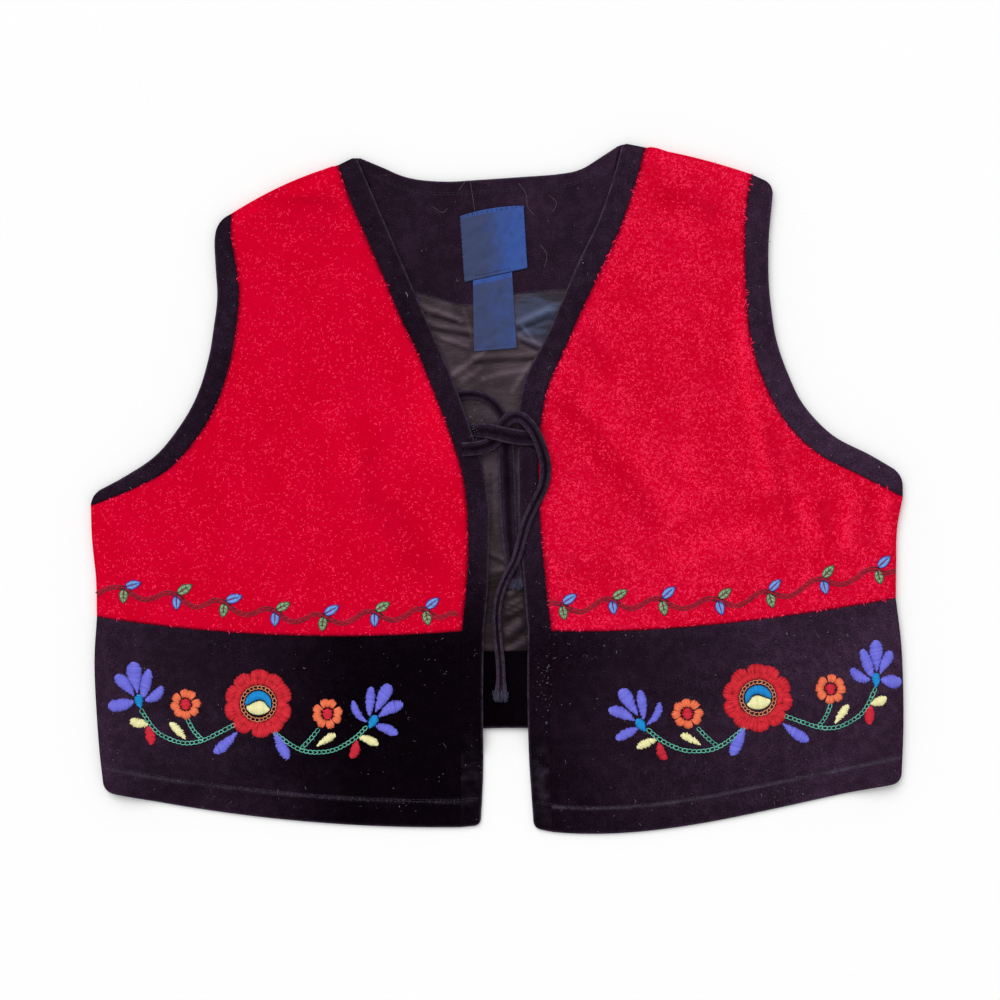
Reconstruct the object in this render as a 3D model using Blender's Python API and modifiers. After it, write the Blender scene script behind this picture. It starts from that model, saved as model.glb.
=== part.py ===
"""Open-front embroidered folk vest, laid flat with its front up.

Metres in the scene, millimetres in the tables below. +X is to the wearer's left, +Y towards the neck,
+Z up from the surface that the vest lies on. The back lies underneath, its lining on it, and the two
fronts over both. The wearer's right front is on the -X side.
"""

import math
from collections import namedtuple

import bmesh
import bpy
from mathutils import Vector

MM = 0.001

# Cloth thicknesses and levels, in mm. Each level is the underside of a layer.
SEAM_GAP = 0.3
BACK_THICK = 2.0
INNER_THICK = 1.0
FRONT_THICK = 2.2
LABEL_THICK = 1.0
INNER_LEVEL = BACK_THICK + SEAM_GAP
LAID_LEVEL = INNER_LEVEL + INNER_THICK + SEAM_GAP
EDGE_LEVEL = BACK_THICK + SEAM_GAP
LOFT = 1.0  # how far the soft fronts stand off the lining
EDGE_ROLL = 9.0  # the fronts come down to the back over this width along the outline
HEM_CLEAR = 4.0  # the fronts stay up this far past the back's hem
HEM_FALL = 14.0  # then they come down to the surface over this length
INNER_INSET = 14.0  # lining and facings stop this far inside the side seams

# How finely the pieces are divided.
PANEL_COLUMNS = 12
COLUMN_EASE = 1.5  # above 1 the columns lie closer towards the side seam
BAND_COLUMNS = 2
ROW_STEPS = 2
LOWER_ROW_STEPS = 4
WIDTH_STEPS = 16
FACING_STEPS = 3

# The ties: flat rolled velvet, in mm.
TIE_WIDTH = 7.0
TIE_THICK = 2.4
TIE_STEP = 7.0

# One row for each cross-section of a front, from the shoulder down. side is the armhole seam and,
# from the underarm down, the side seam. rim is the armhole band's free edge. seam joins the front
# band, and edge is that band's free edge. bow is how far the middle of the section lies above the
# straight line from side to seam, and skew moves the bow towards the seam.
Section = namedtuple("Section", "name rim side seam edge bow skew")

RIGHT_FRONT = (
    Section("shoulder", (-174.4, 166.9), (-166.0, 171.5), (-99.0, 202.0), (-87.8, 207.5), 3.0, 0.0),
    Section("collarbone", (-176.4, 155.0), (-166.0, 157.0), (-90.5, 178.0), (-77.6, 183.8), 1.0, 0.0),
    Section("yoke", (-175.8, 138.8), (-163.0, 139.5), (-80.5, 155.0), (-67.6, 160.6), 0.0, 0.0),
    Section("upper_chest", (-174.7, 119.4), (-161.0, 119.5), (-69.5, 130.0), (-56.8, 135.6), 0.0, 0.0),
    Section("chest", (-176.9, 100.6), (-163.0, 99.0), (-59.0, 105.0), (-45.9, 110.6), 0.0, 0.0),
    Section("lower_chest", (-180.0, 81.9), (-166.5, 79.0), (-49.0, 84.5), (-36.7, 89.4), 0.0, 0.0),
    Section("armhole_turn", (-186.3, 60.6), (-174.0, 55.0), (-38.0, 58.0), (-25.5, 63.1), 0.0, 0.0),
    Section("armhole_curve", (-196.0, 41.9), (-185.5, 34.0), (-28.5, 33.0), (-16.2, 36.9), 0.0, 0.0),
    Section("tie_level", (-212.2, 21.3), (-204.0, 12.5), (-22.5, 14.4), (-9.7, 17.5), 0.0, 0.0),
    Section("armhole_foot", (-231.6, 7.8), (-227.0, -0.5), (-19.4, -0.6), (-6.3, 1.3), 0.0, 0.0),
    Section("underarm", (-253.6, -4.0), (-253.8, -11.3), (-17.8, -17.0), (-4.4, -15.6), 0.0, 0.0),
    Section("ribs", None, (-253.0, -32.5), (-17.3, -38.8), (-4.7, -38.8), -1.0, 0.0),
    Section("above_waist", None, (-250.5, -57.5), (-18.5, -62.0), (-5.3, -62.0), -4.0, 0.0),
    Section("waist_seam", None, (-250.0, -80.5), (-21.5, -89.5), (-7.9, -89.5), -6.9, 0.0),
    Section("upper_band", None, (-251.5, -112.0), (-22.3, -126.3), (-8.4, -126.3), -6.6, 0.0),
    Section("lower_band", None, (-249.0, -157.5), (-22.4, -176.3), (-8.4, -176.3), -6.4, 0.0),
    Section("hem", None, (-245.5, -190.0), (-22.8, -212.5), (-10.0, -211.3), -6.3, 0.0),
)

LEFT_FRONT = (
    Section("shoulder", (173.4, 190.0), (159.7, 196.2), (92.8, 213.1), (78.8, 215.9), 1.5, 0.0),
    Section("collarbone", (172.0, 175.0), (156.5, 176.0), (86.5, 190.0), (73.1, 194.4), 0.5, 0.0),
    Section("yoke", (170.3, 155.0), (155.5, 155.0), (77.0, 162.5), (63.8, 167.5), 0.0, 0.0),
    Section("upper_chest", (170.3, 130.0), (156.0, 130.0), (64.5, 135.0), (51.3, 141.3), 0.0, 0.0),
    Section("chest", (172.2, 110.0), (157.2, 108.0), (52.0, 108.8), (40.0, 115.0), 0.0, 0.0),
    Section("lower_chest", (175.3, 91.9), (160.3, 88.0), (43.5, 89.5), (31.3, 95.0), 0.0, 0.0),
    Section("armhole_turn", (182.2, 71.9), (168.5, 63.8), (32.2, 63.8), (18.1, 68.8), 0.0, 0.0),
    Section("armhole_curve", (192.2, 51.9), (181.0, 41.3), (27.5, 41.3), (13.6, 43.8), 0.0, 0.0),
    Section("tie_level", (210.3, 33.1), (201.5, 21.3), (26.6, 23.8), (13.4, 24.4), 0.0, 0.0),
    Section("armhole_foot", (234.0, 20.6), (228.5, 7.5), (26.3, 5.0), (13.6, 5.0), 0.0, 0.0),
    Section("underarm", (254.0, 8.8), (254.2, -5.6), (26.6, -12.5), (13.8, -12.5), 0.0, 0.0),
    Section("ribs", None, (250.6, -25.0), (27.6, -29.0), (14.6, -29.0), -1.0, 0.0),
    Section("above_waist", None, (250.0, -47.0), (30.2, -55.5), (16.8, -55.5), -3.5, 0.0),
    Section("waist_seam", None, (249.8, -69.0), (34.1, -89.4), (19.6, -89.4), -5.6, 0.2),
    Section("upper_band", None, (253.5, -102.0), (33.5, -126.3), (19.3, -126.3), -6.0, 0.5),
    Section("lower_band", None, (254.6, -145.0), (33.4, -168.0), (20.3, -167.0), -6.8, 0.8),
    Section("hem", None, (253.2, -184.5), (35.0, -215.5), (23.4, -213.1), -7.2, 0.8),
)

# The row where one stretch of a front ends in a corner and the next begins.
UNDERARM = 10
WAIST = 13
HEM = 16

# How far the middle of the back's seams lies above the line between the side seams.
BACK_RISE = {WAIST: 34.0, HEM: 37.0}

# The back neck, from the right shoulder to the left: edge is the free edge, seam joins the red panel.
NeckSection = namedtuple("NeckSection", "edge seam")

BACK_NECK = (
    NeckSection((-87.8, 207.5), (-99.0, 202.0)),
    NeckSection((-79.0, 203.8), (-87.0, 193.2)),
    NeckSection((-69.9, 200.0), (-75.0, 187.5)),
    NeckSection((-59.3, 195.4), (-63.0, 182.6)),
    NeckSection((-47.5, 192.8), (-49.5, 179.4)),
    NeckSection((-30.4, 191.8), (-30.4, 178.3)),
    NeckSection((-11.9, 192.8), (-11.0, 179.3)),
    NeckSection((14.4, 194.6), (15.4, 181.1)),
    NeckSection((38.0, 196.4), (40.5, 183.2)),
    NeckSection((52.5, 199.4), (59.0, 187.6)),
    NeckSection((65.7, 207.3), (74.5, 197.0)),
    NeckSection((78.8, 215.9), (92.8, 213.1)),
)

# The top of the back's red panel between the shoulder's ends and the neck.
RIGHT_SHOULDER = (
    RIGHT_FRONT[0].side, (-148.5, 181.8), (-132.5, 189.8), (-116.0, 196.3), BACK_NECK[0].seam,
)
LEFT_SHOULDER = (
    BACK_NECK[-1].seam, (109.5, 210.2), (126.3, 206.2), (143.0, 201.6), LEFT_FRONT[0].side,
)

# Inside of the back. The neck facing's lower edge, from right to left, and where its sides lie.
FACING_EDGE = (
    (-110.0, 127.0), (-78.0, 126.0), (-50.0, 121.9), (-25.0, 114.6), (-8.0, 115.0), (12.0, 121.0),
    (45.0, 123.8), (78.0, 126.0), (110.0, 127.0),
)
FACING_REACH = 74.0  # below the shoulders its sides lie about this far out, under the fronts
FACING_TUCK = (0.25, 0.5, 0.75, 1.0)  # at these rows it stops at the front bands' free edges
FACING_TURN = 4.0  # and over this length they turn out to that
BAND_WIDTH = 13.4
FACING_ROW = 3  # the lining's sides start at this row
HEM_FACING_DEPTH = 48.0
HEM_FACING_INSET = 0.03  # share of the hem that the facing stops short of each side seam

# Main folds of the fronts as they lie: a soft ridge or, with a negative height, a trough along the
# line from start to end. All in mm.
Fold = namedtuple("Fold", "name start end half_width height")

FRONT_FOLDS = (
    Fold("right_below_shoulder", (-138.0, 177.0), (-101.0, 178.0), 11.0, -0.6),
    Fold("right_over_knot", (-26.0, 42.0), (-25.0, 52.0), 20.0, 2.9),
    Fold("right_ribs", (-79.0, 17.0), (-79.0, -45.0), 13.0, -0.5),
    Fold("right_front_edge", (-41.5, -7.5), (-41.5, -45.0), 9.0, -0.5),
    Fold("left_armhole_ridge", (146.0, 105.0), (164.0, -12.0), 12.0, 1.4),
    Fold("left_armhole_trough", (176.0, 30.0), (186.0, -28.0), 9.0, -0.6),
    Fold("left_underarm", (199.0, 8.0), (204.0, -30.0), 8.0, 0.6),
    Fold("left_side", (226.0, 0.0), (229.0, -34.0), 7.0, 0.5),
    Fold("left_breast", (44.0, 38.0), (102.0, -28.0), 14.0, -0.5),
)

Label = namedtuple("Label", "name corners")

# Corners from top left, clockwise.
LABELS = (
    Label("neck_label", ((-22.9, 170.1), (17.0, 176.6), (19.3, 137.6), (-20.1, 128.8))),
    Label("care_label", ((-14.7, 129.7), (9.7, 135.1), (12.6, 87.6), (-14.1, 85.3))),
)

# Routes of the ties, centre line, in mm. Each starts at the seam of its own front band.
RIGHT_TIE_ROUTE = (
    (-21.5, 24.0, 9.9), (-14.0, 24.6, 10.0), (-7.5, 26.0, 9.0), (-1.5, 29.0, 7.8), (2.0, 34.5, 7.8),
    (5.0, 40.5, 8.1), (10.5, 44.5, 9.6), (17.0, 42.8, 11.4), (23.0, 36.0, 12.0), (27.4, 26.5, 11.2),
    (30.6, 14.0, 8.9), (29.2, 1.5, 8.6), (23.2, -11.0, 8.5), (18.4, -22.0, 8.5), (14.9, -35.0, 8.6),
    (11.6, -45.5, 8.6), (5.6, -57.0, 8.2), (1.4, -69.0, 6.6), (0.2, -81.6, 5.2), (0.9, -94.0, 5.0),
    (2.4, -109.0, 5.0), (2.8, -122.0, 5.0), (2.6, -132.5, 5.0),
)
LEFT_TIE_ROUTE = (
    (27.5, 31.4, 8.5), (20.5, 31.2, 8.5), (14.0, 31.6, 9.3), (7.5, 32.6, 10.9), (1.5, 34.0, 11.3),
    (-4.5, 35.4, 10.2), (-9.0, 35.9, 7.2), (-14.0, 35.9, 4.9), (-21.5, 36.2, 4.9), (-28.6, 39.6, 4.9),
    (-32.4, 46.4, 4.9), (-30.0, 53.8, 4.9), (-22.8, 57.8, 4.9), (-13.6, 58.2, 4.9), (-5.4, 55.4, 4.9),
    (0.8, 49.6, 4.9), (4.6, 42.0, 4.9),
    (6.2, 33.0, 4.9), (6.0, 22.0, 4.9), (6.8, 1.0, 4.9), (7.6, -21.0, 4.9), (9.4, -41.0, 4.9),
    (11.2, -54.0, 4.9), (11.6, -62.5, 4.9),
)

# Colour, roughness and sheen of each cloth.
Finish = namedtuple("Finish", "name colour roughness sheen")

FELT = Finish("red_boiled_wool_felt", (0.61, 0.003, 0.03), 0.95, 0.3)
VELVET = Finish("black_cotton_velveteen", (0.016, 0.010, 0.018), 0.9, 0.6)
SATIN = Finish("dark_lining_satin", (0.020, 0.013, 0.013), 0.35, 0.0)
RIBBON = Finish("navy_woven_ribbon", (0.018, 0.024, 0.09), 0.6, 0.1)


def smoothstep(x):
    """0 below 0, 1 above 1, and a soft step between."""
    x = min(1.0, max(0.0, x))
    return x * x * (3.0 - 2.0 * x)


def on_curve(points, t):
    """The point at t on the smooth curve through the points, where t counts points from 0."""
    last = len(points) - 1
    i = min(int(t), last - 1)
    p1 = Vector(points[i])
    p2 = Vector(points[i + 1])
    p0 = Vector(points[i - 1]) if i > 0 else 2.0 * p1 - p2
    p3 = Vector(points[i + 2]) if i + 2 <= last else 2.0 * p2 - p1
    f = t - i
    return 0.5 * (
        2.0 * p1
        + (p2 - p0) * f
        + (2.0 * p0 - 5.0 * p1 + 4.0 * p2 - p3) * f * f
        + (3.0 * p1 - p0 - 3.0 * p2 + p3) * f ** 3
    )


def on_rows(rows, column, t):
    """A column's point at row t. The curve has a corner at the underarm and at the waist seam."""
    for first, last in ((0, UNDERARM), (UNDERARM, WAIST), (WAIST, HEM)):
        if t <= last:
            break
    points = [getattr(row, column) for row in rows[first:last + 1]]
    return on_curve(points, t - first)


def row_value(rows, column, t):
    """A column's number at row t, straight between rows."""
    i = min(int(t), len(rows) - 2)
    low = getattr(rows[i], column)
    return low + (getattr(rows[i + 1], column) - low) * (t - i)


def segment_distance(point, start, end):
    """How far a point lies from the line between start and end."""
    start = Vector(start)
    run = Vector(end) - start
    share = (Vector(point) - start).dot(run) / run.length_squared
    return (Vector(point) - start - run * min(1.0, max(0.0, share))).length


def outline_of(rows):
    """A front's outline where it is joined to the back or lies on its armhole: shoulder to hem."""
    shoulder = [rows[0].edge, rows[0].seam, rows[0].side, rows[0].rim]
    armhole = [row.rim for row in rows[1:UNDERARM + 1]]
    side = [row.side for row in rows[UNDERARM:]]
    return shoulder + armhole + side


def panel_point(rows, t, u):
    """The point at share u from the side to the front seam, on row t."""
    side = on_rows(rows, "side", t)
    seam = on_rows(rows, "seam", t)
    bow = row_value(rows, "bow", t) * 4.0 * u * (1.0 - u)
    bow *= 1.0 + row_value(rows, "skew", t) * (2.0 * u - 1.0)
    return side.lerp(seam, u) + Vector((0.0, bow))


def strip_point(rows, inner, outer, t, u):
    """The point at share u across a band that is sewn along one column and free along the other."""
    start = on_rows(rows, inner, t)
    end = on_rows(rows, outer, t)
    start = start + (end - start).normalized() * SEAM_GAP
    return start.lerp(end, u)


def back_point(t, u):
    """The point at share u from the right side to the left one, on the back's row t."""
    right = on_rows(RIGHT_FRONT, "side", t)
    left = on_rows(LEFT_FRONT, "side", t)
    return right.lerp(left, u) + Vector((0.0, BACK_RISE[t] * 4.0 * u * (1.0 - u)))


def back_hem(x):
    """The height of the back's hem at x."""
    right = Vector(RIGHT_FRONT[HEM].side)
    left = Vector(LEFT_FRONT[HEM].side)
    u = min(1.0, max(0.0, (x - right.x) / (left.x - right.x)))
    return right.lerp(left, u).y + BACK_RISE[HEM] * 4.0 * u * (1.0 - u)


def front_level(rows, point):
    """The underside of a front at a point, as it lies on the lining, the back or the surface."""
    outline = outline_of(rows)
    near = min(segment_distance(point, a, b) for a, b in zip(outline, outline[1:]))
    inside = smoothstep(near / EDGE_ROLL)
    folds = 0.0
    for fold in FRONT_FOLDS:
        away = segment_distance(point, fold.start, fold.end) / fold.half_width
        folds += fold.height * math.exp(-away * away)
    level = EDGE_LEVEL + inside * (LAID_LEVEL - EDGE_LEVEL + LOFT + folds)
    past_hem = back_hem(point.x) - HEM_CLEAR - point.y
    return level * smoothstep(1.0 - past_hem / HEM_FALL)


def cloth(finish):
    """The material of one cloth, made once."""
    material = bpy.data.materials.get(finish.name)
    if material is None:
        material = bpy.data.materials.new(finish.name)
        material.use_nodes = True
        shader = material.node_tree.nodes["Principled BSDF"]
        shader.inputs["Base Color"].default_value = (*finish.colour, 1.0)
        shader.inputs["Roughness"].default_value = finish.roughness
        shader.inputs["Metallic"].default_value = 0.0
        shader.inputs["Sheen Weight"].default_value = finish.sheen
    return material


def sheet(name, place, shares, rows, finish):
    """A wall of cloth: a grid with its columns at the shares and its lines at the rows, put in place
    by place(share, row), in mm, then thickened upwards."""
    mesh = bpy.data.meshes.new(name)
    bm = bmesh.new()
    bmesh.ops.create_grid(bm, x_segments=len(shares) - 1, y_segments=len(rows) - 1, size=0.5)
    for vert in bm.verts:
        column = round((vert.co.x + 0.5) * (len(shares) - 1))
        line = round((vert.co.y + 0.5) * (len(rows) - 1))
        vert.co = Vector(place(shares[column], rows[line])) * MM
    bm.normal_update()
    if sum(face.normal.z for face in bm.faces) < 0.0:
        bmesh.ops.reverse_faces(bm, faces=bm.faces)
    bm.to_mesh(mesh)
    bm.free()
    mesh.materials.append(cloth(finish))
    piece = bpy.data.objects.new(name, mesh)
    vest.objects.link(piece)
    wall = piece.modifiers.new("wall", "SOLIDIFY")
    wall.thickness = FRONT_THICK * MM
    wall.offset = 1.0


def flat_piece(name, outline, level, thick, finish):
    """A flat piece of cloth: a filled outline, in mm, whose underside lies at the level."""
    data = bpy.data.curves.new(name, "CURVE")
    data.dimensions = "2D"
    data.fill_mode = "BOTH"
    data.extrude = thick / 2.0 * MM
    spline = data.splines.new("POLY")
    spline.points.add(len(outline) - 1)
    for point, corner in zip(spline.points, outline):
        point.co = (corner[0] * MM, corner[1] * MM, 0.0, 1.0)
    spline.use_cyclic_u = True
    data.materials.append(cloth(finish))
    piece = bpy.data.objects.new(name, data)
    piece.location.z = (level + thick / 2.0) * MM
    vest.objects.link(piece)


def steps(first, last, per_row):
    """Rows from first to last, with so many steps in each."""
    return [first + i / per_row for i in range((last - first) * per_row + 1)]


def make_front(side, rows):
    """One front: red panel, lower band, front band and armhole band."""
    across = [u ** COLUMN_EASE for u in steps(0, 1, PANEL_COLUMNS)]
    band_across = steps(0, 1, BAND_COLUMNS)
    upper_rows = steps(0, WAIST, ROW_STEPS)
    lower_rows = steps(WAIST, HEM, LOWER_ROW_STEPS)

    def laid(point):
        return (point.x, point.y, front_level(rows, point))

    def panel(u, t):
        return laid(panel_point(rows, t, u))

    def lower_panel(u, t):
        gap = SEAM_GAP if t == WAIST else 0.0
        return laid(panel_point(rows, t, u) - Vector((0.0, gap)))

    def front_band(u, t):
        return laid(strip_point(rows, "seam", "edge", t, u))

    def armhole_band(u, t):
        return laid(strip_point(rows, "side", "rim", t, u))

    sheet(side + "_upper_front", panel, across, upper_rows, FELT)
    sheet(side + "_lower_front", lower_panel, across, lower_rows, VELVET)
    sheet(side + "_front_band", front_band, band_across, upper_rows + lower_rows[1:], VELVET)
    sheet(side + "_armhole_band", armhole_band, band_across, upper_rows[:ROW_STEPS * UNDERARM + 1], VELVET)


def make_back():
    """The back's outer shell: red panel, lower band, neck band and armhole bands, flat underneath."""
    shares = steps(0, 1, WIDTH_STEPS)
    waist = [back_point(WAIST, u) for u in shares]
    hem = [back_point(HEM, u) for u in shares]
    right_side = [on_rows(RIGHT_FRONT, "side", t) for t in steps(0, HEM, ROW_STEPS)]
    left_side = [on_rows(LEFT_FRONT, "side", t) for t in steps(0, HEM, ROW_STEPS)]
    neck_rows = steps(0, len(BACK_NECK) - 1, ROW_STEPS)
    neck_seam = [on_curve([row.seam for row in BACK_NECK], t) for t in neck_rows]
    neck_edge = [on_curve([row.edge for row in BACK_NECK], t) for t in neck_rows]
    waist_row = ROW_STEPS * WAIST

    right_shoulder = [Vector(point) for point in RIGHT_SHOULDER[1:-1]]
    left_shoulder = [Vector(point) for point in LEFT_SHOULDER[1:-1]]
    top = right_shoulder + neck_seam + left_shoulder
    upper = top + left_side[:waist_row] + waist[::-1] + right_side[waist_row - 1::-1]
    flat_piece("back_upper_panel", upper, 0.0, BACK_THICK, FELT)

    below_waist = [point - Vector((0.0, SEAM_GAP)) for point in waist]
    lower = below_waist + left_side[waist_row + 1:-1] + hem[::-1] + right_side[-2:waist_row:-1]
    flat_piece("back_lower_band", lower, 0.0, BACK_THICK, VELVET)

    neck_start = [
        seam + (edge - seam).normalized() * SEAM_GAP for seam, edge in zip(neck_seam, neck_edge)
    ]
    flat_piece("back_neck_band", neck_start + neck_edge[::-1], 0.0, BACK_THICK, VELVET)

    for side, rows in (("right", RIGHT_FRONT), ("left", LEFT_FRONT)):
        armhole = steps(0, UNDERARM, ROW_STEPS)
        start = [strip_point(rows, "side", "rim", t, 0.0) for t in armhole]
        rim = [strip_point(rows, "side", "rim", t, 1.0) for t in armhole]
        flat_piece(f"back_{side}_armhole_band", start + rim[::-1], 0.0, BACK_THICK, VELVET)


def make_inside():
    """What shows inside the back: neck facing, lining and hem facing."""
    facing_edge = [on_curve(FACING_EDGE, t) for t in steps(0, len(FACING_EDGE) - 1, FACING_STEPS)]
    neck_column = [row.edge for row in BACK_NECK]
    neck = [on_curve(neck_column, t) for t in steps(0, len(BACK_NECK) - 1, ROW_STEPS)]
    past_edge = 1.0 + SEAM_GAP / BAND_WIDTH
    left_tuck = [strip_point(LEFT_FRONT, "seam", "edge", t, past_edge) for t in FACING_TUCK]
    right_tuck = [strip_point(RIGHT_FRONT, "seam", "edge", t, past_edge) for t in FACING_TUCK]
    facing_foot = [point for point in facing_edge if abs(point.x) <= FACING_REACH]
    left_turn = Vector((facing_foot[-1].x, left_tuck[-1].y - FACING_TURN))
    right_turn = Vector((facing_foot[0].x, right_tuck[-1].y - FACING_TURN))
    facing = neck[1:-1] + left_tuck + [left_turn] + facing_foot[::-1] + [right_turn] + right_tuck[::-1]
    flat_piece("back_neck_facing", facing, INNER_LEVEL, INNER_THICK, VELVET)

    inset = Vector((INNER_INSET, 0.0))
    gap = Vector((0.0, SEAM_GAP))
    depth = Vector((0.0, HEM_FACING_DEPTH))
    side_rows = steps(FACING_ROW, WAIST + 1, ROW_STEPS)
    right_side = [on_rows(RIGHT_FRONT, "side", t) + inset for t in side_rows]
    left_side = [on_rows(LEFT_FRONT, "side", t) - inset for t in side_rows]
    hem_shares = [
        HEM_FACING_INSET + (1.0 - 2.0 * HEM_FACING_INSET) * u for u in steps(0, 1, WIDTH_STEPS)
    ]
    hem = [back_point(HEM, u) for u in hem_shares]
    facing_top = [point + depth for point in hem]
    lining_top = [point - gap for point in facing_edge]
    lining_foot = [point + gap for point in facing_top]
    lining = lining_top + left_side + lining_foot[::-1] + right_side[::-1]
    flat_piece("back_lining", lining, INNER_LEVEL, INNER_THICK, SATIN)
    flat_piece("back_hem_facing", facing_top + hem[::-1], INNER_LEVEL, INNER_THICK, VELVET)


def make_labels():
    """The two woven labels sewn inside the neck, flat on the facing and the lining."""
    for label in LABELS:
        flat_piece(label.name, label.corners, LAID_LEVEL, LABEL_THICK, RIBBON)


def make_tie(name, route):
    """A flat rolled tie along its route, as a ribbon with round edges."""
    data = bpy.data.curves.new(name, "CURVE")
    data.dimensions = "3D"
    data.twist_mode = "Z_UP"
    data.bevel_depth = TIE_THICK / 2.0 * MM
    data.bevel_resolution = 2
    data.extrude = (TIE_WIDTH - TIE_THICK) / 2.0 * MM
    data.use_fill_caps = True
    rough = sum((Vector(b) - Vector(a)).length for a, b in zip(route, route[1:]))
    count = int(rough / TIE_STEP) + 1
    spline = data.splines.new("POLY")
    spline.points.add(count - 1)
    for i, point in enumerate(spline.points):
        place = on_curve(route, i / (count - 1) * (len(route) - 1))
        point.co = (*(place * MM), 1.0)
        point.tilt = math.pi / 2.0
    data.materials.append(cloth(VELVET))
    vest.objects.link(bpy.data.objects.new(name, data))


for old in list(bpy.data.objects):
    bpy.data.objects.remove(old)

vest = bpy.data.collections.new("embroidered_folk_vest")
bpy.context.scene.collection.children.link(vest)

make_back()
make_inside()
make_labels()
make_front("right", RIGHT_FRONT)
make_front("left", LEFT_FRONT)
make_tie("right_tie", RIGHT_TIE_ROUTE)
make_tie("left_tie", LEFT_TIE_ROUTE)
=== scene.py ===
"""An open-front folk vest of red boiled wool and black velveteen with embroidery, laid flat on a table.

+X is the wearer's left, +Y points to the neck and +Z up from the table. The tables are in
millimetres, and MM turns them into metres where a piece gets its mesh.
"""

import math
from collections import namedtuple

import bmesh
import bpy
import numpy as np
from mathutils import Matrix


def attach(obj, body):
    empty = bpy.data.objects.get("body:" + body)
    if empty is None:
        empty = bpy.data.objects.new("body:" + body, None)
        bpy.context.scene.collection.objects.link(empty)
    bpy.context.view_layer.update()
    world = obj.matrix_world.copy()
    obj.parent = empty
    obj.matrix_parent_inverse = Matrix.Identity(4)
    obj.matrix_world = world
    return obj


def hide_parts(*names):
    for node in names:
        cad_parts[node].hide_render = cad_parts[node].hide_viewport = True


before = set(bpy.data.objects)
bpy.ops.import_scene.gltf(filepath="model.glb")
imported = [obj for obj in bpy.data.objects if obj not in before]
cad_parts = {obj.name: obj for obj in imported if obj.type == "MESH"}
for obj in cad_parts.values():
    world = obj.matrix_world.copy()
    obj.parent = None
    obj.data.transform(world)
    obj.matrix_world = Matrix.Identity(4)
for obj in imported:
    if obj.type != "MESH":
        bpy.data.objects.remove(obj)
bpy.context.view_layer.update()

# ---------------------------------------------------------------- the table, the lights, the camera
# A pale table under soft light from all round, with one wide lamp high on the left. The camera looks
# straight down at the vest from far above.
MM = 0.001
VIEW_WIDTH, VIEW_CENTRE, VIEW_LEVEL = 625 * MM, (2.19 * MM, -7.5 * MM), 5 * MM
LENS, SENSOR = 85, 36
TABLE_SIZE, TABLE_LEVEL, TABLE_TONE = 40, -0.2 * MM, (0.97, 0.97, 0.97, 1)
ROOM_LIGHT, LAMP_LIGHT = 0.63, 1.65
LAMP_SPREAD, LAMP_TURN = math.radians(50), (-0.62, -0.40, 0)
scene = bpy.context.scene


def in_scene(name, data):
    """A new object in the scene."""
    made = bpy.data.objects.new(name, data)
    scene.collection.objects.link(made)
    return made


bpy.ops.mesh.primitive_plane_add(size=TABLE_SIZE, location=(0, 0, TABLE_LEVEL))
table = bpy.context.object
table.name = "table"
paper = bpy.data.materials.new("pale_table")
paper.use_nodes = True
for socket, value in (("Base Color", TABLE_TONE), ("Roughness", 1), ("Specular IOR Level", 0)):
    paper.node_tree.nodes["Principled BSDF"].inputs[socket].default_value = value
table.data.materials.append(paper)

sky = bpy.data.worlds.new("soft_room")
sky.use_nodes = True
for socket, value in (("Color", (1, 1, 1, 1)), ("Strength", ROOM_LIGHT)):
    sky.node_tree.nodes["Background"].inputs[socket].default_value = value
scene.world = sky
scene.view_settings.view_transform = "Standard"

lamp = in_scene("wide_lamp", bpy.data.lights.new("wide_lamp", "SUN"))
lamp.data.angle, lamp.data.energy = LAMP_SPREAD, LAMP_LIGHT
lamp.rotation_euler = LAMP_TURN

camera = in_scene("camera", bpy.data.cameras.new("camera"))
camera.data.lens, camera.data.sensor_width = LENS, SENSOR
camera.location = (*VIEW_CENTRE, VIEW_LEVEL + VIEW_WIDTH * LENS / SENSOR)
scene.camera = camera

# ---------------------------------------------------------------- the back's outer shell
# The half that lies underneath: a red felt panel above a black velveteen lower band, bound with
# velveteen at the neck and armholes. It lies flat on the table, its underside the right side.
#
# Each row below is one cross-section of a front, from the shoulder to the hem. side is the armhole
# seam and, from the underarm down, the side seam that the back shares. rim is the armhole band's
# free edge. seam joins the front band and edge is its free edge. bow lifts the section's middle, and
# skew carries that lift towards the seam.
Row = namedtuple("Row", "name rim side seam edge bow skew", defaults=(0, 0))


def listed(kind, rows):
    """A table's rows, with their columns named."""
    return tuple(kind(*row) for row in rows)


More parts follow.
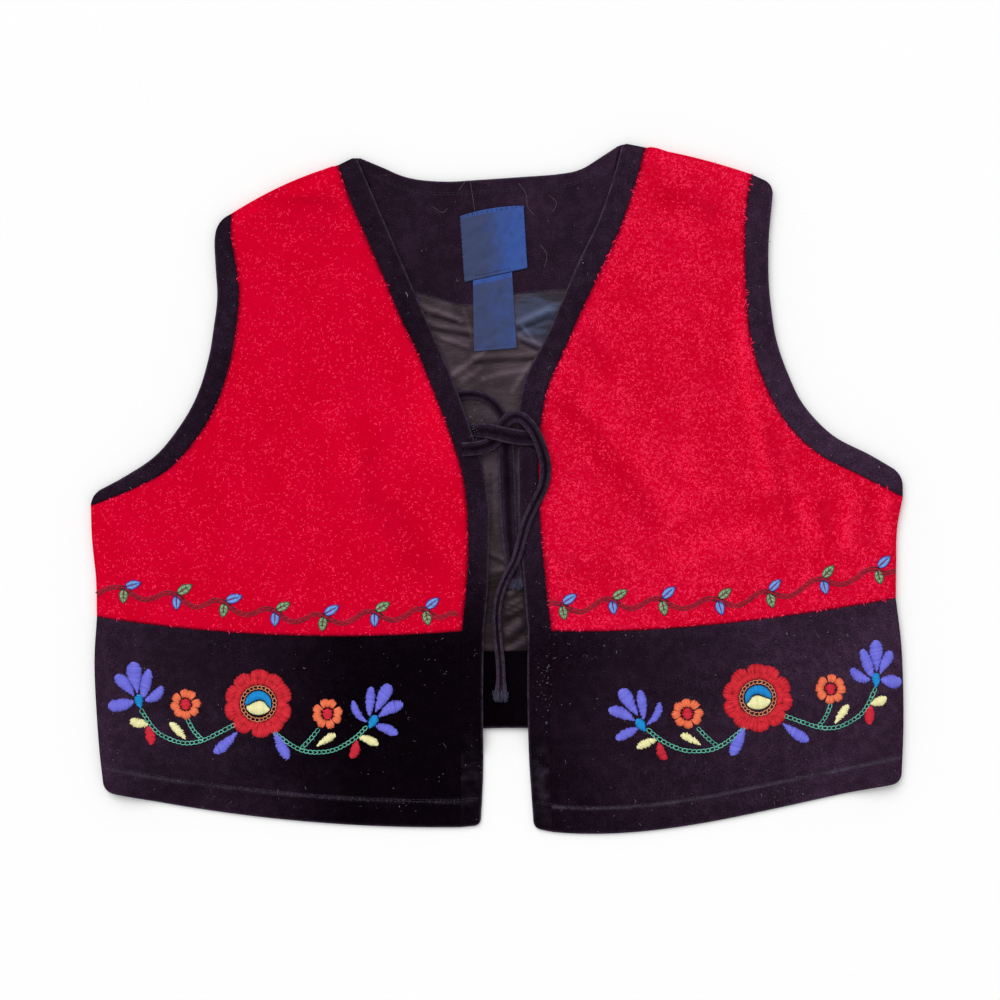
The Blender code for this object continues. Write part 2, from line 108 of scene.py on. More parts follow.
RIGHT = listed(Row, (
    ("shoulder", (-174.4, 166.9), (-166, 171.5), (-99, 202), (-87.8, 207.5), 3),
    ("collarbone", (-176.4, 155), (-166, 157), (-90.5, 178), (-77.6, 183.8), 1),
    ("yoke", (-175.8, 138.8), (-163, 139.5), (-80.5, 155), (-67.6, 160.6)),
    ("upper_chest", (-174.7, 119.4), (-161, 119.5), (-69.5, 130), (-56.8, 135.6)),
    ("chest", (-176.9, 100.6), (-163, 99), (-59, 105), (-45.9, 110.6)),
    ("lower_chest", (-180, 81.9), (-166.5, 79), (-49, 84.5), (-36.7, 89.4)),
    ("armhole_turn", (-186.3, 60.6), (-174, 55), (-38, 58), (-25.5, 63.1)),
    ("armhole_curve", (-196, 41.9), (-185.5, 34), (-28.5, 33), (-16.2, 36.9)),
    ("tie_level", (-212.2, 21.3), (-204, 12.5), (-22.5, 14.4), (-9.7, 17.5)),
    ("armhole_foot", (-231.6, 7.8), (-227, -0.5), (-19.4, -0.6), (-6.3, 1.3)),
    ("underarm", (-253.6, -4), (-253.8, -11.3), (-17.8, -17), (-4.4, -15.6)),
    ("ribs", None, (-253, -32.5), (-17.3, -38.8), (-4.7, -38.8), -1),
    ("above_waist", None, (-250.5, -57.5), (-18.5, -62), (-5.3, -62), -4),
    ("waist_seam", None, (-250, -80.5), (-21.5, -89.5), (-7.9, -89.5), -6.9),
    ("upper_band", None, (-251.5, -112), (-22.3, -126.3), (-8.4, -126.3), -6.6),
    ("lower_band", None, (-249, -157.5), (-22.4, -176.3), (-8.4, -176.3), -6.4),
    ("hem", None, (-245.5, -190), (-22.8, -212.5), (-10, -211.3), -6.3),
))
LEFT = listed(Row, (
    ("shoulder", (173.4, 190), (159.7, 196.2), (92.8, 213.1), (78.8, 215.9), 1.5),
    ("collarbone", (172, 175), (156.5, 176), (86.5, 190), (73.1, 194.4), 0.5),
    ("yoke", (170.3, 155), (155.5, 155), (77, 162.5), (63.8, 167.5)),
    ("upper_chest", (170.3, 130), (156, 130), (64.5, 135), (51.3, 141.3)),
    ("chest", (172.2, 110), (157.2, 108), (52, 108.8), (40, 115)),
    ("lower_chest", (175.3, 91.9), (160.3, 88), (43.5, 89.5), (31.3, 95)),
    ("armhole_turn", (182.2, 71.9), (168.5, 63.8), (32.2, 63.8), (18.1, 68.8)),
    ("armhole_curve", (192.2, 51.9), (181, 41.3), (27.5, 41.3), (13.6, 43.8)),
    ("tie_level", (210.3, 33.1), (201.5, 21.3), (26.6, 23.8), (13.4, 24.4)),
    ("armhole_foot", (234, 20.6), (228.5, 7.5), (26.3, 5), (13.6, 5)),
    ("underarm", (254, 8.8), (254.2, -5.6), (26.6, -12.5), (13.8, -12.5)),
    ("ribs", None, (250.6, -25), (27.6, -29), (14.6, -29), -1),
    ("above_waist", None, (250, -47), (30.2, -55.5), (16.8, -55.5), -3.5),
    ("waist_seam", None, (249.8, -69), (34.1, -89.4), (19.6, -89.4), -5.6, 0.2),
    ("upper_band", None, (253.5, -102), (33.5, -126.3), (19.3, -126.3), -6, 0.5),
    ("lower_band", None, (254.6, -145), (33.4, -168), (20.3, -167), -6.8, 0.8),
    ("hem", None, (253.2, -184.5), (35, -215.5), (23.4, -213.1), -7.2, 0.8),
))
UNDERARM, WAIST, HEM = 10, 13, 16
SIDES = {"right": RIGHT, "left": LEFT}

# The back neck, from the right shoulder to the left: the free edge, and the seam with the red panel.
NECK_EDGE = (
    (-87.8, 207.5), (-79, 203.8), (-69.9, 200), (-59.3, 195.4), (-47.5, 192.8), (-30.4, 191.8),
    (-11.9, 192.8), (14.4, 194.6), (38, 196.4), (52.5, 199.4), (65.7, 207.3), (78.8, 215.9),
)
NECK_SEAM = (
    (-99, 202), (-87, 193.2), (-75, 187.5), (-63, 182.6), (-49.5, 179.4), (-30.4, 178.3),
    (-11, 179.3), (15.4, 181.1), (40.5, 183.2), (59, 187.6), (74.5, 197), (92.8, 213.1),
)
RIGHT_SHOULDER = ((-166, 171.5), (-148.5, 181.8), (-132.5, 189.8), (-116, 196.3))
LEFT_SHOULDER = ((109.5, 210.2), (126.3, 206.2), (143, 201.6), (159.7, 196.2))
WAIST_RISE, HEM_RISE = 34, 37  # how far the back's waist seam and hem arch up at the middle

BACK_THICK, SEAM_GAP = 2, 0.05
SEAM_ROLL, SEAM_DIP = 2, 0.7  # each piece rolls down into its seams over this width, this far
FOLD_WIDTH, FOLD_DROP = 0.6, 0.42  # a folded edge's roundness, for its thickness
EDGE_STEPS, STEPS_END = np.array([0, 0.22, 0.6, 1.2, 2]), 3.2  # how close lines lie at an edge, to round it
WORN_WIDTH = 0.75  # how wide an edge is worn, with a painted highlight on velveteen's folded edges
# How a piece's first column, last column, first row and last row are finished.
PANEL_EDGES = ("sewn",) * 4
BAND_EDGES = ("sewn", "sewn", "sewn", "folded")
BINDING_EDGES = ("sewn", "folded", "sewn", "sewn")


def unit(run):
    """The run's direction, with length 1."""
    return run / np.linalg.norm(run, axis=-1, keepdims=True)


def places(x, y):
    return np.stack([x, y], axis=-1)


def along(points, t):
    """The places at t, counted in points from 0, on the smooth curve through the points."""
    known = np.array(points, float)
    run = np.vstack([2 * known[0] - known[1], known, 2 * known[-1] - known[-2]])
    t = np.asarray(t, float)
    i = np.clip(t.astype(int), 0, len(known) - 2)
    f = (t - i)[..., None]
    a, b, c, d = (run[i + k] for k in range(4))
    return 0.5 * (2 * b + (c - a) * f + (2 * a - 5 * b + 4 * c - d) * f**2 + (3 * b - a - 3 * c + d) * f**3)


def measured(line):
    """How far along a line each of its points lies."""
    return np.concatenate([[0.0], np.cumsum(np.linalg.norm(np.diff(line, axis=0), axis=1))])


def shared_out(line, shares):
    """Places at shares of a line's length."""
    far = measured(line)
    return np.stack([np.interp(shares * far[-1], far, value) for value in line.T], axis=-1)


def by_length(points, shares):
    """Places at shares of the length of the curve through the points."""
    return shared_out(along(points, np.linspace(0, len(points) - 1, 40 * len(points))), shares)


def down(rows, column, t):
    """A column's places at rows t. It turns a corner at the underarm and at the waist seam."""
    t = np.asarray(t, float)
    found = np.zeros(t.shape + (2,))
    for first, last in ((0, UNDERARM), (UNDERARM, WAIST), (WAIST, HEM)):
        here = (t <= last) & ((t > first) | (first == 0))
        if here.any():
            found[here] = along([getattr(row, column) for row in rows[first:last + 1]], t[here] - first)
    return found


def between(start, end, share):
    """Straight from start to end, by share."""
    return start + (end - start) * np.asarray(share)[..., None]


def soft_step(x):
    """0 below 0, 1 above 1 and a soft step between."""
    x = np.clip(x, 0.0, 1.0)
    return x * x * (3 - 2 * x)


def bell(distance, width):
    """1 at no distance, falling away softly over that width."""
    return np.exp(-(distance / width) ** 2)


def spaced(length, step):
    """Shares from 0 to 1 of a run that long: even steps, and close ones at both ends for the roll."""
    close = np.append(EDGE_STEPS, STEPS_END) / length
    even = np.linspace(close[-1], 1 - close[-1], max(2, round(length / step)))
    return np.concatenate([close[:-1], even, 1 - close[:-1][::-1]])


def spaced_rows(rows, column, first, last, step):
    """Rows from first to last that lie about a step apart along a column, close at both ends."""
    t = []
    for row in range(first, last):
        far = np.linalg.norm(np.subtract(getattr(rows[row + 1], column), getattr(rows[row], column)))
        t.append(row + np.arange(max(1, round(far / step))) / max(1, round(far / step)))
        if row == first:
            t.append(first + EDGE_STEPS / far)
        if row == last - 1:
            t.append(last - EDGE_STEPS / far)
    return np.unique(np.round(np.concatenate(t), 6))


def runs(plan, axis):
    """How far each place of a plan lies from its first line and from its last, along an axis."""
    step = np.linalg.norm(np.diff(plan, axis=axis), axis=-1)
    start = np.zeros_like(step.take([0], axis=axis))
    from_first = np.concatenate([start, np.cumsum(step, axis=axis)], axis=axis)
    return from_first, from_first.take([-1], axis=axis) - from_first


def rounded(plan, *corners):
    """The plan with corners rounded: for each, its column and row, 0 or -1, and the radius."""
    for column, row, radius in corners:
        a = np.clip(1 - runs(plan, 1)[column] / radius, 0, 1)[..., None]
        b = np.clip(1 - runs(plan, 0)[row] / radius, 0, 1)[..., None]
        into_a = unit(np.gradient(plan, axis=1) * (1 if column == 0 else -1))
        into_b = unit(np.gradient(plan, axis=0) * (1 if row == 0 else -1))
        plan = (
            plan
            + into_a * radius * a * (1 - np.sqrt(1 - b * b / 2))
            + into_b * radius * b * (1 - np.sqrt(1 - a * a / 2))
        )
    return plan


def edge_turn(distance, kind, thick):
    """How far cloth comes down on top and up underneath, that far from a folded, sewn or cut edge."""
    if kind == "folded":
        q = np.clip(distance / (FOLD_WIDTH * thick), 0, 1)
        turn = FOLD_DROP * thick * (1 - np.sqrt(1 - (1 - q) ** 2))
        return turn, turn
    if kind == "sewn":
        q = np.clip(distance / SEAM_ROLL, 0, 1)
        return SEAM_DIP * (1 - q) ** 2, 0 * q
    return 0 * distance, 0 * distance


def cells(plan):
    """Twice the area of each cell of a plan, with its sign."""
    down_right, down_left = plan[1:, 1:] - plan[:-1, :-1], plan[1:, :-1] - plan[:-1, 1:]
    return down_right[..., 0] * down_left[..., 1] - down_right[..., 1] * down_left[..., 0]


def new_piece(name, bm, finish, values, smooth=True):
    """A finished bmesh as an object, with its values for each vertex as attributes."""
    mesh = bpy.data.meshes.new(name)
    bm.to_mesh(mesh)
    bm.free()
    if smooth:
        mesh.shade_smooth()
    mesh.materials.append(finish)
    for key, found in values.items():
        mesh.attributes.new(key, "FLOAT", "POINT").data.foreach_set("value", found)
    return in_scene(name, mesh)


LAID = {}  # each laid piece's places and the heights of its face, for what is sewn on it
STRIP_SHARE = 0.3  # a long curved strip covers less than this of the box round it


def lay_cloth(name, node_name, plan, under, thick, edges, cloth,
              nap=None, lift=0.0, rub_and_painted_light=0.0, pressed=0.0):
    """A piece of cloth for a node, as a closed wall that lies where the plan says.

    plan holds its places row by row, under its underside's height, edges how its four edges are
    finished, and pressed how far its top is pressed in. The rub mask marks wear on velveteen and, on
    felt, painted shadow with the black pile over it beside its seams. But for felt, cloth also carries
    that mark along its folds, or along its seams where it has no fold: wear with a painted highlight on
    velveteen's folded edges. nap says how light it looks there, and on the lining it holds painted shade
    and crease highlights. The fold heights say how far it stands up or sinks in its creases, which felt
    shows as painted light on its ridges and painted shade in its troughs.
    """
    finish, slot = cloth
    level = np.zeros(plan.shape[:2])
    nap = nap_of(plan) if nap is None else nap
    under, lift, drop, rise, worn = level + under, level + lift, level, level, level
    worn_kind = None if cloth is FELT else "folded" if "folded" in edges else "sewn"
    for distance, kind in zip((*runs(plan, 1), *runs(plan, 0)), edges):
        down_by, up_by = edge_turn(distance, kind, thick)
        drop, rise = np.maximum(drop, down_by), np.maximum(rise, up_by)
        if kind == worn_kind:
            worn = np.maximum(worn, bell(distance, WORN_WIDTH))
    worn = np.maximum(worn, rub_and_painted_light)
    low, high = under + rise, under + thick - drop - pressed
    lengthwise, across = plan.shape[0] - 1, plan.shape[1] - 1
    bm = bmesh.new()
    bmesh.ops.create_grid(bm, x_segments=across, y_segments=lengthwise, size=0.5)
    made = bmesh.ops.extrude_face_region(bm, geom=bm.faces[:], use_keep_orig=True)
    top = {item for item in made["geom"] if isinstance(item, bmesh.types.BMVert)}
    at = [(round((vert.co.y + 0.5) * lengthwise), round((vert.co.x + 0.5) * across)) for vert in bm.verts]
    for vert, (i, j) in zip(bm.verts, at):
        vert.co = (*plan[i, j] * MM, (high if vert in top else low)[i, j] * MM)
    bmesh.ops.recalc_face_normals(bm, faces=bm.faces[:])
    i, j = np.transpose(at)
    piece = new_piece(name, bm, finish, {"worn": worn[i, j], "nap": nap[i, j], "lift": lift[i, j]})
    LAID[name] = plan, high
    width, length = np.ptp(plan.reshape(-1, 2), axis=0) * MM
    area = abs(cells(plan).sum()) / 2 * MM * MM
    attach(piece, "root")
    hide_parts(node_name)
    if area < STRIP_SHARE * width * length:  # a strip: its mean length along the rows is measured
        run = runs(plan, 0)[0][-1].mean() * MM


class Finish:
    """A material in the making: constants on its shader's own sockets, and nodes for what varies."""

    def __init__(self, name, constants):
        self.material = bpy.data.materials.new(name)
        self.material.use_nodes = True
        self.tree = self.material.node_tree
        self.shader = self.tree.nodes["Principled BSDF"]
        for socket, value in constants.items():
            self.shader.inputs[socket].default_value = value
        self.place = self.node("TexCoord", {}, "Object")

    def node(self, kind, inputs, output=0, **settings):
        """The output of a new node whose inputs are numbers, colours or other nodes' outputs."""
        made = self.tree.nodes.new("ShaderNode" + kind)
        for setting, value in settings.items():
            setattr(made, setting, value)
        for key, value in inputs.items():
            if isinstance(value, bpy.types.NodeSocket):
                self.tree.links.new(value, made.inputs[key])
            else:
                made.inputs[key].default_value = value
        return made.outputs[output]

    def read(self, name):
        """What the piece's own attribute says."""
        return self.node("Attribute", {}, "Fac", attribute_name=name)

    def noise(self, scale, detail=2.0, rough=0.5, distortion=0.0, place=None):
        inputs = {"Vector": self.place if place is None else place, "Scale": scale, "Detail": detail}
        return self.node("TexNoise", {**inputs, "Roughness": rough, "Distortion": distortion})

    def ramp(self, value, low, high, to_low=0.0, to_high=1.0):
        """A value carried softly from one range to another."""
        inputs = {"Value": value, "From Min": low, "From Max": high, "To Min": to_low, "To Max": to_high}
        return self.node("MapRange", inputs, interpolation_type="SMOOTHSTEP")

    def math(self, operation, a, b=0.0):
        return self.node("Math", {0: a, 1: b}, operation=operation)

    def times(self, product, *values):
        for value in values:
            product = self.math("MULTIPLY", product, value)
        return product

    def mix(self, share, a, b):
        return self.node("Mix", {0: share, 6: a, 7: b}, 2, data_type="RGBA")

    def scaled(self, colour, level):
        return self.node("VectorMath", {0: colour, "Scale": level}, operation="SCALE")

    def done(self, colour, height, depth, strength):
        """The material, with that colour and a bump of that depth in metres."""
        self.tree.links.new(colour, self.shader.inputs["Base Color"])
        bump = self.node("Bump", {"Height": height, "Distance": depth, "Strength": strength})
        self.tree.links.new(bump, self.shader.inputs["Normal"])
        return self.material


def boiled_wool():
    """Red boiled wool: a dense mat with short pale curls of fibre over it, more where nap says so. Its fold
    ridges are painted lighter with more curls, its troughs painted darker, and beside its seams it is
    painted darker as shadow with the black pile over it.
    """
    wool = Finish("red_boiled_wool", {"Roughness": 1, "Specular IOR Level": 0, "Sheen Weight": 0.01,
                                      "Sheen Roughness": 0.5, "Sheen Tint": (1, 0.01, 0.08, 1)})
    patches = wool.noise(30, 3)
    curls = []
    for scale, width, turn in ((420, 0.060, 1.2), (640, 0.070, 1.8)):
        level = wool.math("ABSOLUTE", wool.math("SUBTRACT", wool.noise(scale, 1.2, 0.5, turn), 0.5))
        pieces = wool.ramp(wool.noise(scale * 0.9, 1), 0.48, 0.56)
        curls.append(wool.times(wool.ramp(level, 0, width, 1, 0), pieces))
    curls = wool.times(wool.math("MAXIMUM", *curls), wool.ramp(patches, 0.36, 0.60, 0.60, 1))
    ground = wool.mix(wool.ramp(patches, 0.3, 0.7), (0.66, 0, 0.020, 1), (0.72, 0, 0.029, 1))
    ground = wool.mix(wool.ramp(wool.read("nap"), 0.3, 1, 0, 0.12), ground, (0.50, 0, 0.014, 1))
    grain = wool.noise(1100)
    ground = wool.mix(wool.ramp(grain, 0.35, 0.65, 0, 0.30), ground, (0.44, 0, 0.010, 1))
    lift = wool.read("lift")
    # Painted light and shade: the felt is lighter, with more curls, on its fold ridges, and darker in its
    # troughs.
    raised = wool.scaled(ground, wool.ramp(lift, -1.2, 1.6, 0.875, 1.11))
    amount = wool.times(curls, wool.read("nap"), wool.ramp(lift, -1, 1.4, 0.25, 1.20))
    colour = wool.mix(amount, raised, (1, 0.028, 0.105, 1))
    uneven = wool.ramp(wool.noise(700), 0.35, 0.65, 0.55, 1)
    # Painted seam shadow, with the black pile over it: the felt is darker beside its seams.
    colour = wool.mix(wool.times(wool.read("worn"), uneven), colour, (0.06, 0.002, 0.010, 1))
    height = wool.math("ADD", wool.times(curls, 0.8), wool.times(grain, 0.7))
    return wool.done(colour, height, 0.26 * MM, 0.6)


FEWEST_CURLS, CURLS_FROM, CURLS_OVER = 0.15, -20, 60


def curliness(plan):
    """How thick the felt's curls lie: thin on the wearer's right and thick on the left."""
    return FEWEST_CURLS + (1 - FEWEST_CURLS) * soft_step((plan[..., 0] - CURLS_FROM) / CURLS_OVER)


# The second colour is worn velveteen's, and also the painted highlight on folded edges and on the ties'
# crests and rims.
PLUM, RUB_AND_HIGHLIGHT_TONE = (1, 0.49, 1.03), (0.067, 0.050, 0.078, 1)
# How light the nap looks, as it is brushed: along the lower bands from side to side, and higher up.
NAP_LOW = ((-250, 0.030), (-150, 0.012), (-90, 0.0032), (0, 0.004), (100, 0.018), (250, 0.040))
NAP_HIGH = ((-180, 0.0175), (-70, 0.014), (0, 0.0195), (90, 0.023), (180, 0.040))
NAP_FROM, NAP_OVER = -110, 90


def nap_of(plan):
    """How light the velveteen's nap looks at each place of a plan."""
    high = soft_step((plan[..., 1] - NAP_FROM) / NAP_OVER)
    low_tone, high_tone = (np.interp(plan[..., 0], *np.transpose(tones)) for tones in (NAP_LOW, NAP_HIGH))
    return low_tone + (high_tone - low_tone) * high


def velveteen():
    """Black cotton velveteen with a plum cast: a short nap, brushed lighter in soft patches."""
    pile = Finish("black_velveteen", {"Roughness": 1, "Specular IOR Level": 0, "Sheen Weight": 0.05,
                                      "Sheen Roughness": 0.4, "Sheen Tint": (0.95, 0.50, 0.95, 1)})
    brushed, grain = pile.noise(150, 3, 0.6), pile.noise(1500)
    patches = pile.ramp(pile.noise(16), 0.36, 0.66, 0.80, 1.12)
    level = pile.times(pile.read("nap"), patches, pile.ramp(brushed, 0.35, 0.72, 0.82, 1.26),
                       pile.ramp(grain, 0.34, 0.68, 1.35, 0.50))
    # The mark mixed in here is wear, and painted highlights along folded edges and on the ties' crests and
    # rims.
    rub_and_painted_light = pile.times(pile.read("worn"), pile.ramp(pile.noise(260, 3, 0.7), 0.3, 0.65, 0.25, 1))
    height = pile.math("ADD", grain, pile.times(brushed, 2))
    return pile.done(pile.mix(rub_and_painted_light, pile.scaled(PLUM, level), RUB_AND_HIGHLIGHT_TONE), height, 0.16 * MM, 0.7)


FELT, VELVET = (boiled_wool(), "felt"), (velveteen(), "velveteen")  # each with its slot


def back_edge(rise, row, share):
    """A seam right across the back at a row, arched up at the middle."""
    line = between(*(down(rows, "side", np.full(share.shape, float(row))) for rows in SIDES.values()), share)
    line[..., 1] += rise * 4 * share * (1 - share)
    return line


def stretched(columns, rows, top, bottom, start, end):
    """A plan between four curves: top and bottom by column, start and end by row."""
    u, v = columns[None, :, None], rows[:, None, None]
    flat = (1 - v) * ((1 - u) * top[0] + u * top[-1]) + v * ((1 - u) * bottom[0] + u * bottom[-1])
    return (1 - v) * top[None] + v * bottom[None] + (1 - u) * start[:, None] + u * end[:, None] - flat


# Corners are rounded this far. The lines of each mesh lie a step apart over the piece's length.
NECK_CORNER, SHOULDER_CORNER, UNDERARM_CORNER, HEM_CORNER = 3.5, 6.2, 6.8, 5.6
BACK_ACROSS, BACK_STEP, BACK_ROW_STEP, BAND_DEPTH, BAND_ROWS = 500, 6, 5.5, 120, 26
NECK_AROUND, RIM_STEP, BINDING_WIDTH, BINDING_STEP = 190, 3, 13.4, 2.4
back_columns = spaced(BACK_ACROSS, BACK_STEP)
back_rows = spaced_rows(RIGHT, "side", 0, WAIST, BACK_ROW_STEP)
back_top = by_length(RIGHT_SHOULDER + NECK_SEAM + LEFT_SHOULDER, back_columns)
back_waist = back_edge(WAIST_RISE, WAIST, back_columns)
side_seams = [down(rows, "side", back_rows) for rows in SIDES.values()]
plan = stretched(back_columns, back_rows / WAIST, back_top, back_waist, *side_seams)
lay_cloth("back_red_panel", "back_upper_panel", plan, 0, BACK_THICK, PANEL_EDGES, FELT,
          nap=curliness(plan))

close = EDGE_STEPS / BAND_DEPTH
band_rows = np.concatenate([close, np.linspace(0.04, 0.96, BAND_ROWS), 1 - close[::-1]])
dropped = [0, SEAM_GAP] * (1 - band_rows[:, None])
side_seams = [down(rows, "side", WAIST + band_rows * (HEM - WAIST)) - dropped for rows in SIDES.values()]
back_hem = back_edge(HEM_RISE, HEM, back_columns)
plan = stretched(back_columns, band_rows, back_waist - [0, SEAM_GAP], back_hem, *side_seams)
plan = rounded(plan, (0, -1, HEM_CORNER), (-1, -1, HEM_CORNER))
lay_cloth("back_velveteen_band", "back_lower_band", plan, 0, BACK_THICK, BAND_EDGES, VELVET)

neck_at = spaced(NECK_AROUND, RIM_STEP) * (len(NECK_EDGE) - 1)
binding_columns = spaced(BINDING_WIDTH, BINDING_STEP)
seam_line, free_line = along(NECK_SEAM, neck_at), along(NECK_EDGE, neck_at)
seam_line = seam_line + unit(free_line - seam_line) * SEAM_GAP
plan = between(seam_line[:, None], free_line[:, None], binding_columns[None])
plan = rounded(plan, (-1, 0, NECK_CORNER), (-1, -1, NECK_CORNER))
lay_cloth("back_neck_binding", "back_neck_band", plan, 0, BACK_THICK, BINDING_EDGES, VELVET)


def strip(rows, inner, outer, row_at):
    """A band between a sewn column and a free one."""
    start, end = down(rows, inner, row_at)[:, None], down(rows, outer, row_at)[:, None]
    return between(start + unit(end - start) * SEAM_GAP, end, binding_columns[None])


def armhole_strip(rows, step):
    """The band round an armhole, its free corners rounded."""
    plan = strip(rows, "side", "rim", spaced_rows(rows, "rim", 0, UNDERARM, step))
    return rounded(plan, (-1, 0, SHOULDER_CORNER), (-1, -1, UNDERARM_CORNER))


for side, rows in SIDES.items():
    lay_cloth(f"back_armhole_binding_{side}", f"back_{side}_armhole_band", armhole_strip(rows, RIM_STEP),
              0, BACK_THICK, BINDING_EDGES, VELVET)

# ---------------------------------------------------------------- the inside of the back
# What shows between the fronts: a velveteen facing round the neck, dark acetate satin below it, and
# a velveteen facing at the hem. They lie on the back's wrong side.
INNER_LEVEL, INNER_THICK = 2.3, 1
FACING_EDGE = ((-110, 127), (-78, 126), (-50, 121.9), (-25, 114.6), (-8, 115), (12, 121), (45, 123.8),
               (78, 126), (110, 127))
FACING_REACH, FACING_ACROSS, FACING_DOWN, FACING_STEP, FACING_NAP = 73, 165, 80, 2, 1.3
# The facing's sides follow the front edges, this far inside them and between these rows, then turn in.
FACING_GAP, FACING_STARTS, FACING_TUCKS, FACING_TURN, FACING_CORNER = 0.3, 0.2, 0.85, (3.5, 5), 2.5
HEM_FACING_DEPTH, HEM_FACING_INSET, HEM_FACING_STEP, HEM_FACING_NAP = 48, 0.03, 2.4, 0.45
LINING_FROM, LINING_INSET, LINING_TUCK, LINING_DOWN, LINING_STEP, SHOWN_FROM = 3, 14, 0.4, 230, 1.45, 0.38
LINING_RIPPLE, RIPPLED_TO, LINING_SINK = 0.12, 50, -0.25  # it lies uneven only between the fronts
# The lining's creases: a ridge, or a trough with a negative height, from start to end.
Fold = namedtuple("Fold", "name start end half_width height")
CREASES = listed(Fold, (
    ("below_facing", (-54, 116.5), (-22, 104.2), 1.5, 0.80),
    ("below_facing_trough", (-46, 108.5), (-26, 103.6), 1.3, -0.50),
    ("upper_left", (-44, 102.6), (-14, 97.6), 1.4, 0.70),
    ("upper_left_trough", (-38, 98.6), (-18, 94.4), 1.4, -0.40),
    ("upper_left_lower", (-34, 93.4), (-18, 88.4), 1.3, 0.55),
    ("beside_labels", (-20, 110), (-16, 96), 1.2, 0.45),
    ("right_of_labels", (13, 103), (40, 114.5), 1.7, 0.70),
    ("right_trough", (14, 98.6), (32, 105.6), 1.4, -0.45),
    ("right_middle", (16, 101), (24, 91), 1.3, 0.50),
    ("right_lower", (14, 94.5), (34, 86.5), 1.5, 0.65),
    ("right_lower_trough", (16, 90.6), (32, 82.6), 1.3, -0.40),
    ("under_care_label", (-14, 81.5), (30, 84), 1.4, 0.55),
    ("under_care_trough", (-14, 77.8), (22, 79.6), 1.3, -0.40),
    ("slanting", (-28, 70), (-8, 84), 1.6, 0.75),
    ("slanting_lower", (-22, 66), (-10, 74), 1.3, 0.45),
    ("above_knot", (-8, 68), (20, 74), 1.5, 0.60),
    ("above_knot_right", (10, 60), (22, 78), 1.4, 0.55),
    ("left_edge_run", (-7.5, 12), (-6, -36), 1.2, 0.42),
    ("left_edge_trough", (-3.6, 8), (-3, -30), 1.3, -0.30),
    ("pull_one", (-10, -38), (6, -45), 1.2, 0.40),
    ("pull_one_trough", (-10, -41.4), (6, -48.4), 1.2, -0.30),
    ("pull_two", (-10, -54), (4, -51), 1.3, 0.38),
    ("pull_three", (8, -66), (16, -60), 1.7, 0.85),
    ("pull_four", (6.5, -74), (15, -69), 1.1, 0.65),
    ("pull_four_low", (6.5, -79), (15.5, -74), 1.0, 0.50),
    ("pull_four_trough", (6.5, -82.5), (17, -78), 1.3, -0.60),
    ("bulge", (7, -90), (14, -84), 2.0, 0.95),
    ("bulge_trough", (9, -97.5), (19, -87.5), 1.4, -0.70),
    ("above_hem_facing", (6.5, -101.5), (17.5, -95.5), 1.8, 0.90),
    ("above_hem_facing_left", (-12, -99.5), (-2, -99.5), 1.3, 0.40),
))
# Painted shade by height: the lining is darkest low down between the fronts and lightest just below its
# middle.
LINING_PAINTED_LIGHT = ((-110, 0.24), (-62, 0.28), (-46, 0.75), (-20, 1.30), (40, 1), (120, 1))
# Where the painted blue reflection on the lining centres, in metres.
BLUE_REFLECTION_AT = (0.027, 0.108, 0.003)


def distance_to(plan, start, end):
    """How far places lie from the line between start and end."""
    start, run = np.array(start), np.subtract(end, start)
    share = np.clip(((plan - start) @ run) / (run @ run), 0, 1)
    return np.linalg.norm(plan - start - share[..., None] * run, axis=-1)


def folded_up(plan, folds):
    """The height that folds add at each place."""
    return sum(fold.height * bell(distance_to(plan, fold.start, fold.end), fold.half_width) for fold in folds)


def waves(plan, size, seed):
    """The slight unevenness of laid cloth, with waves about that size across."""
    rng = np.random.default_rng(seed)
    total = np.zeros(plan.shape[:-1])
    for _ in range(9):
        angle, phase = rng.uniform(0, 2 * math.pi, 2)
        length = size * rng.uniform(0.6, 1.7)
        total += np.sin((plan @ [math.cos(angle), math.sin(angle)]) * 2 * math.pi / length + phase)
    return total / 3


def lining_satin():
    """Dark brown acetate satin: smooth, with a soft gloss along its fine weave, painted shade and crease
    highlights from nap, and a painted blue reflection round one place.
    """
    satin = Finish("dark_lining_satin", {"Roughness": 0.38, "Specular IOR Level": 0.11, "Anisotropic": 0.4})
    drawn = {"Vector": satin.place, "Rotation": (0, 0, -0.28), "Scale": (0.45, 1, 1)}
    streaks = satin.node("Mapping", drawn)
    patches = satin.noise(75, 4, 0.62, 0.5, streaks)
    # nap here holds the painted shade and crease highlights of the lining.
    level = satin.times(satin.read("nap"), satin.ramp(patches, 0.34, 0.68, 0.62, 1.42))
    tones = {0: (0.052, 0.036, 0.044), 1: level, 2: (0.0035, 0, 0.0012)}
    brown = satin.node("VectorMath", tones, operation="MULTIPLY_ADD")
    # A painted blue reflection round one place right of the labels, broken up by the streaks.
    near = satin.node("VectorMath", {0: satin.place, 1: BLUE_REFLECTION_AT}, "Value", operation="DISTANCE")
    cast = satin.times(satin.ramp(near, 0.010, 0.024, 1, 0), satin.ramp(patches, 0.35, 0.6, 0.5, 1))
    colour = satin.mix(cast, brown, satin.scaled((0.042, 0.050, 0.092), level))
    threaded = {"Vector": satin.place, "Scale": 620, "Distortion": 0.6}
    weave = satin.node("TexWave", threaded, 1, bands_direction="DIAGONAL")
    soft = satin.ramp(satin.noise(130, 4, 0.6, 1, streaks), 0.35, 0.65)
    return satin.done(colour, satin.math("ADD", satin.times(weave, 0.15), soft), 0.45 * MM, 0.6)


SATIN = lining_satin(), "lining"

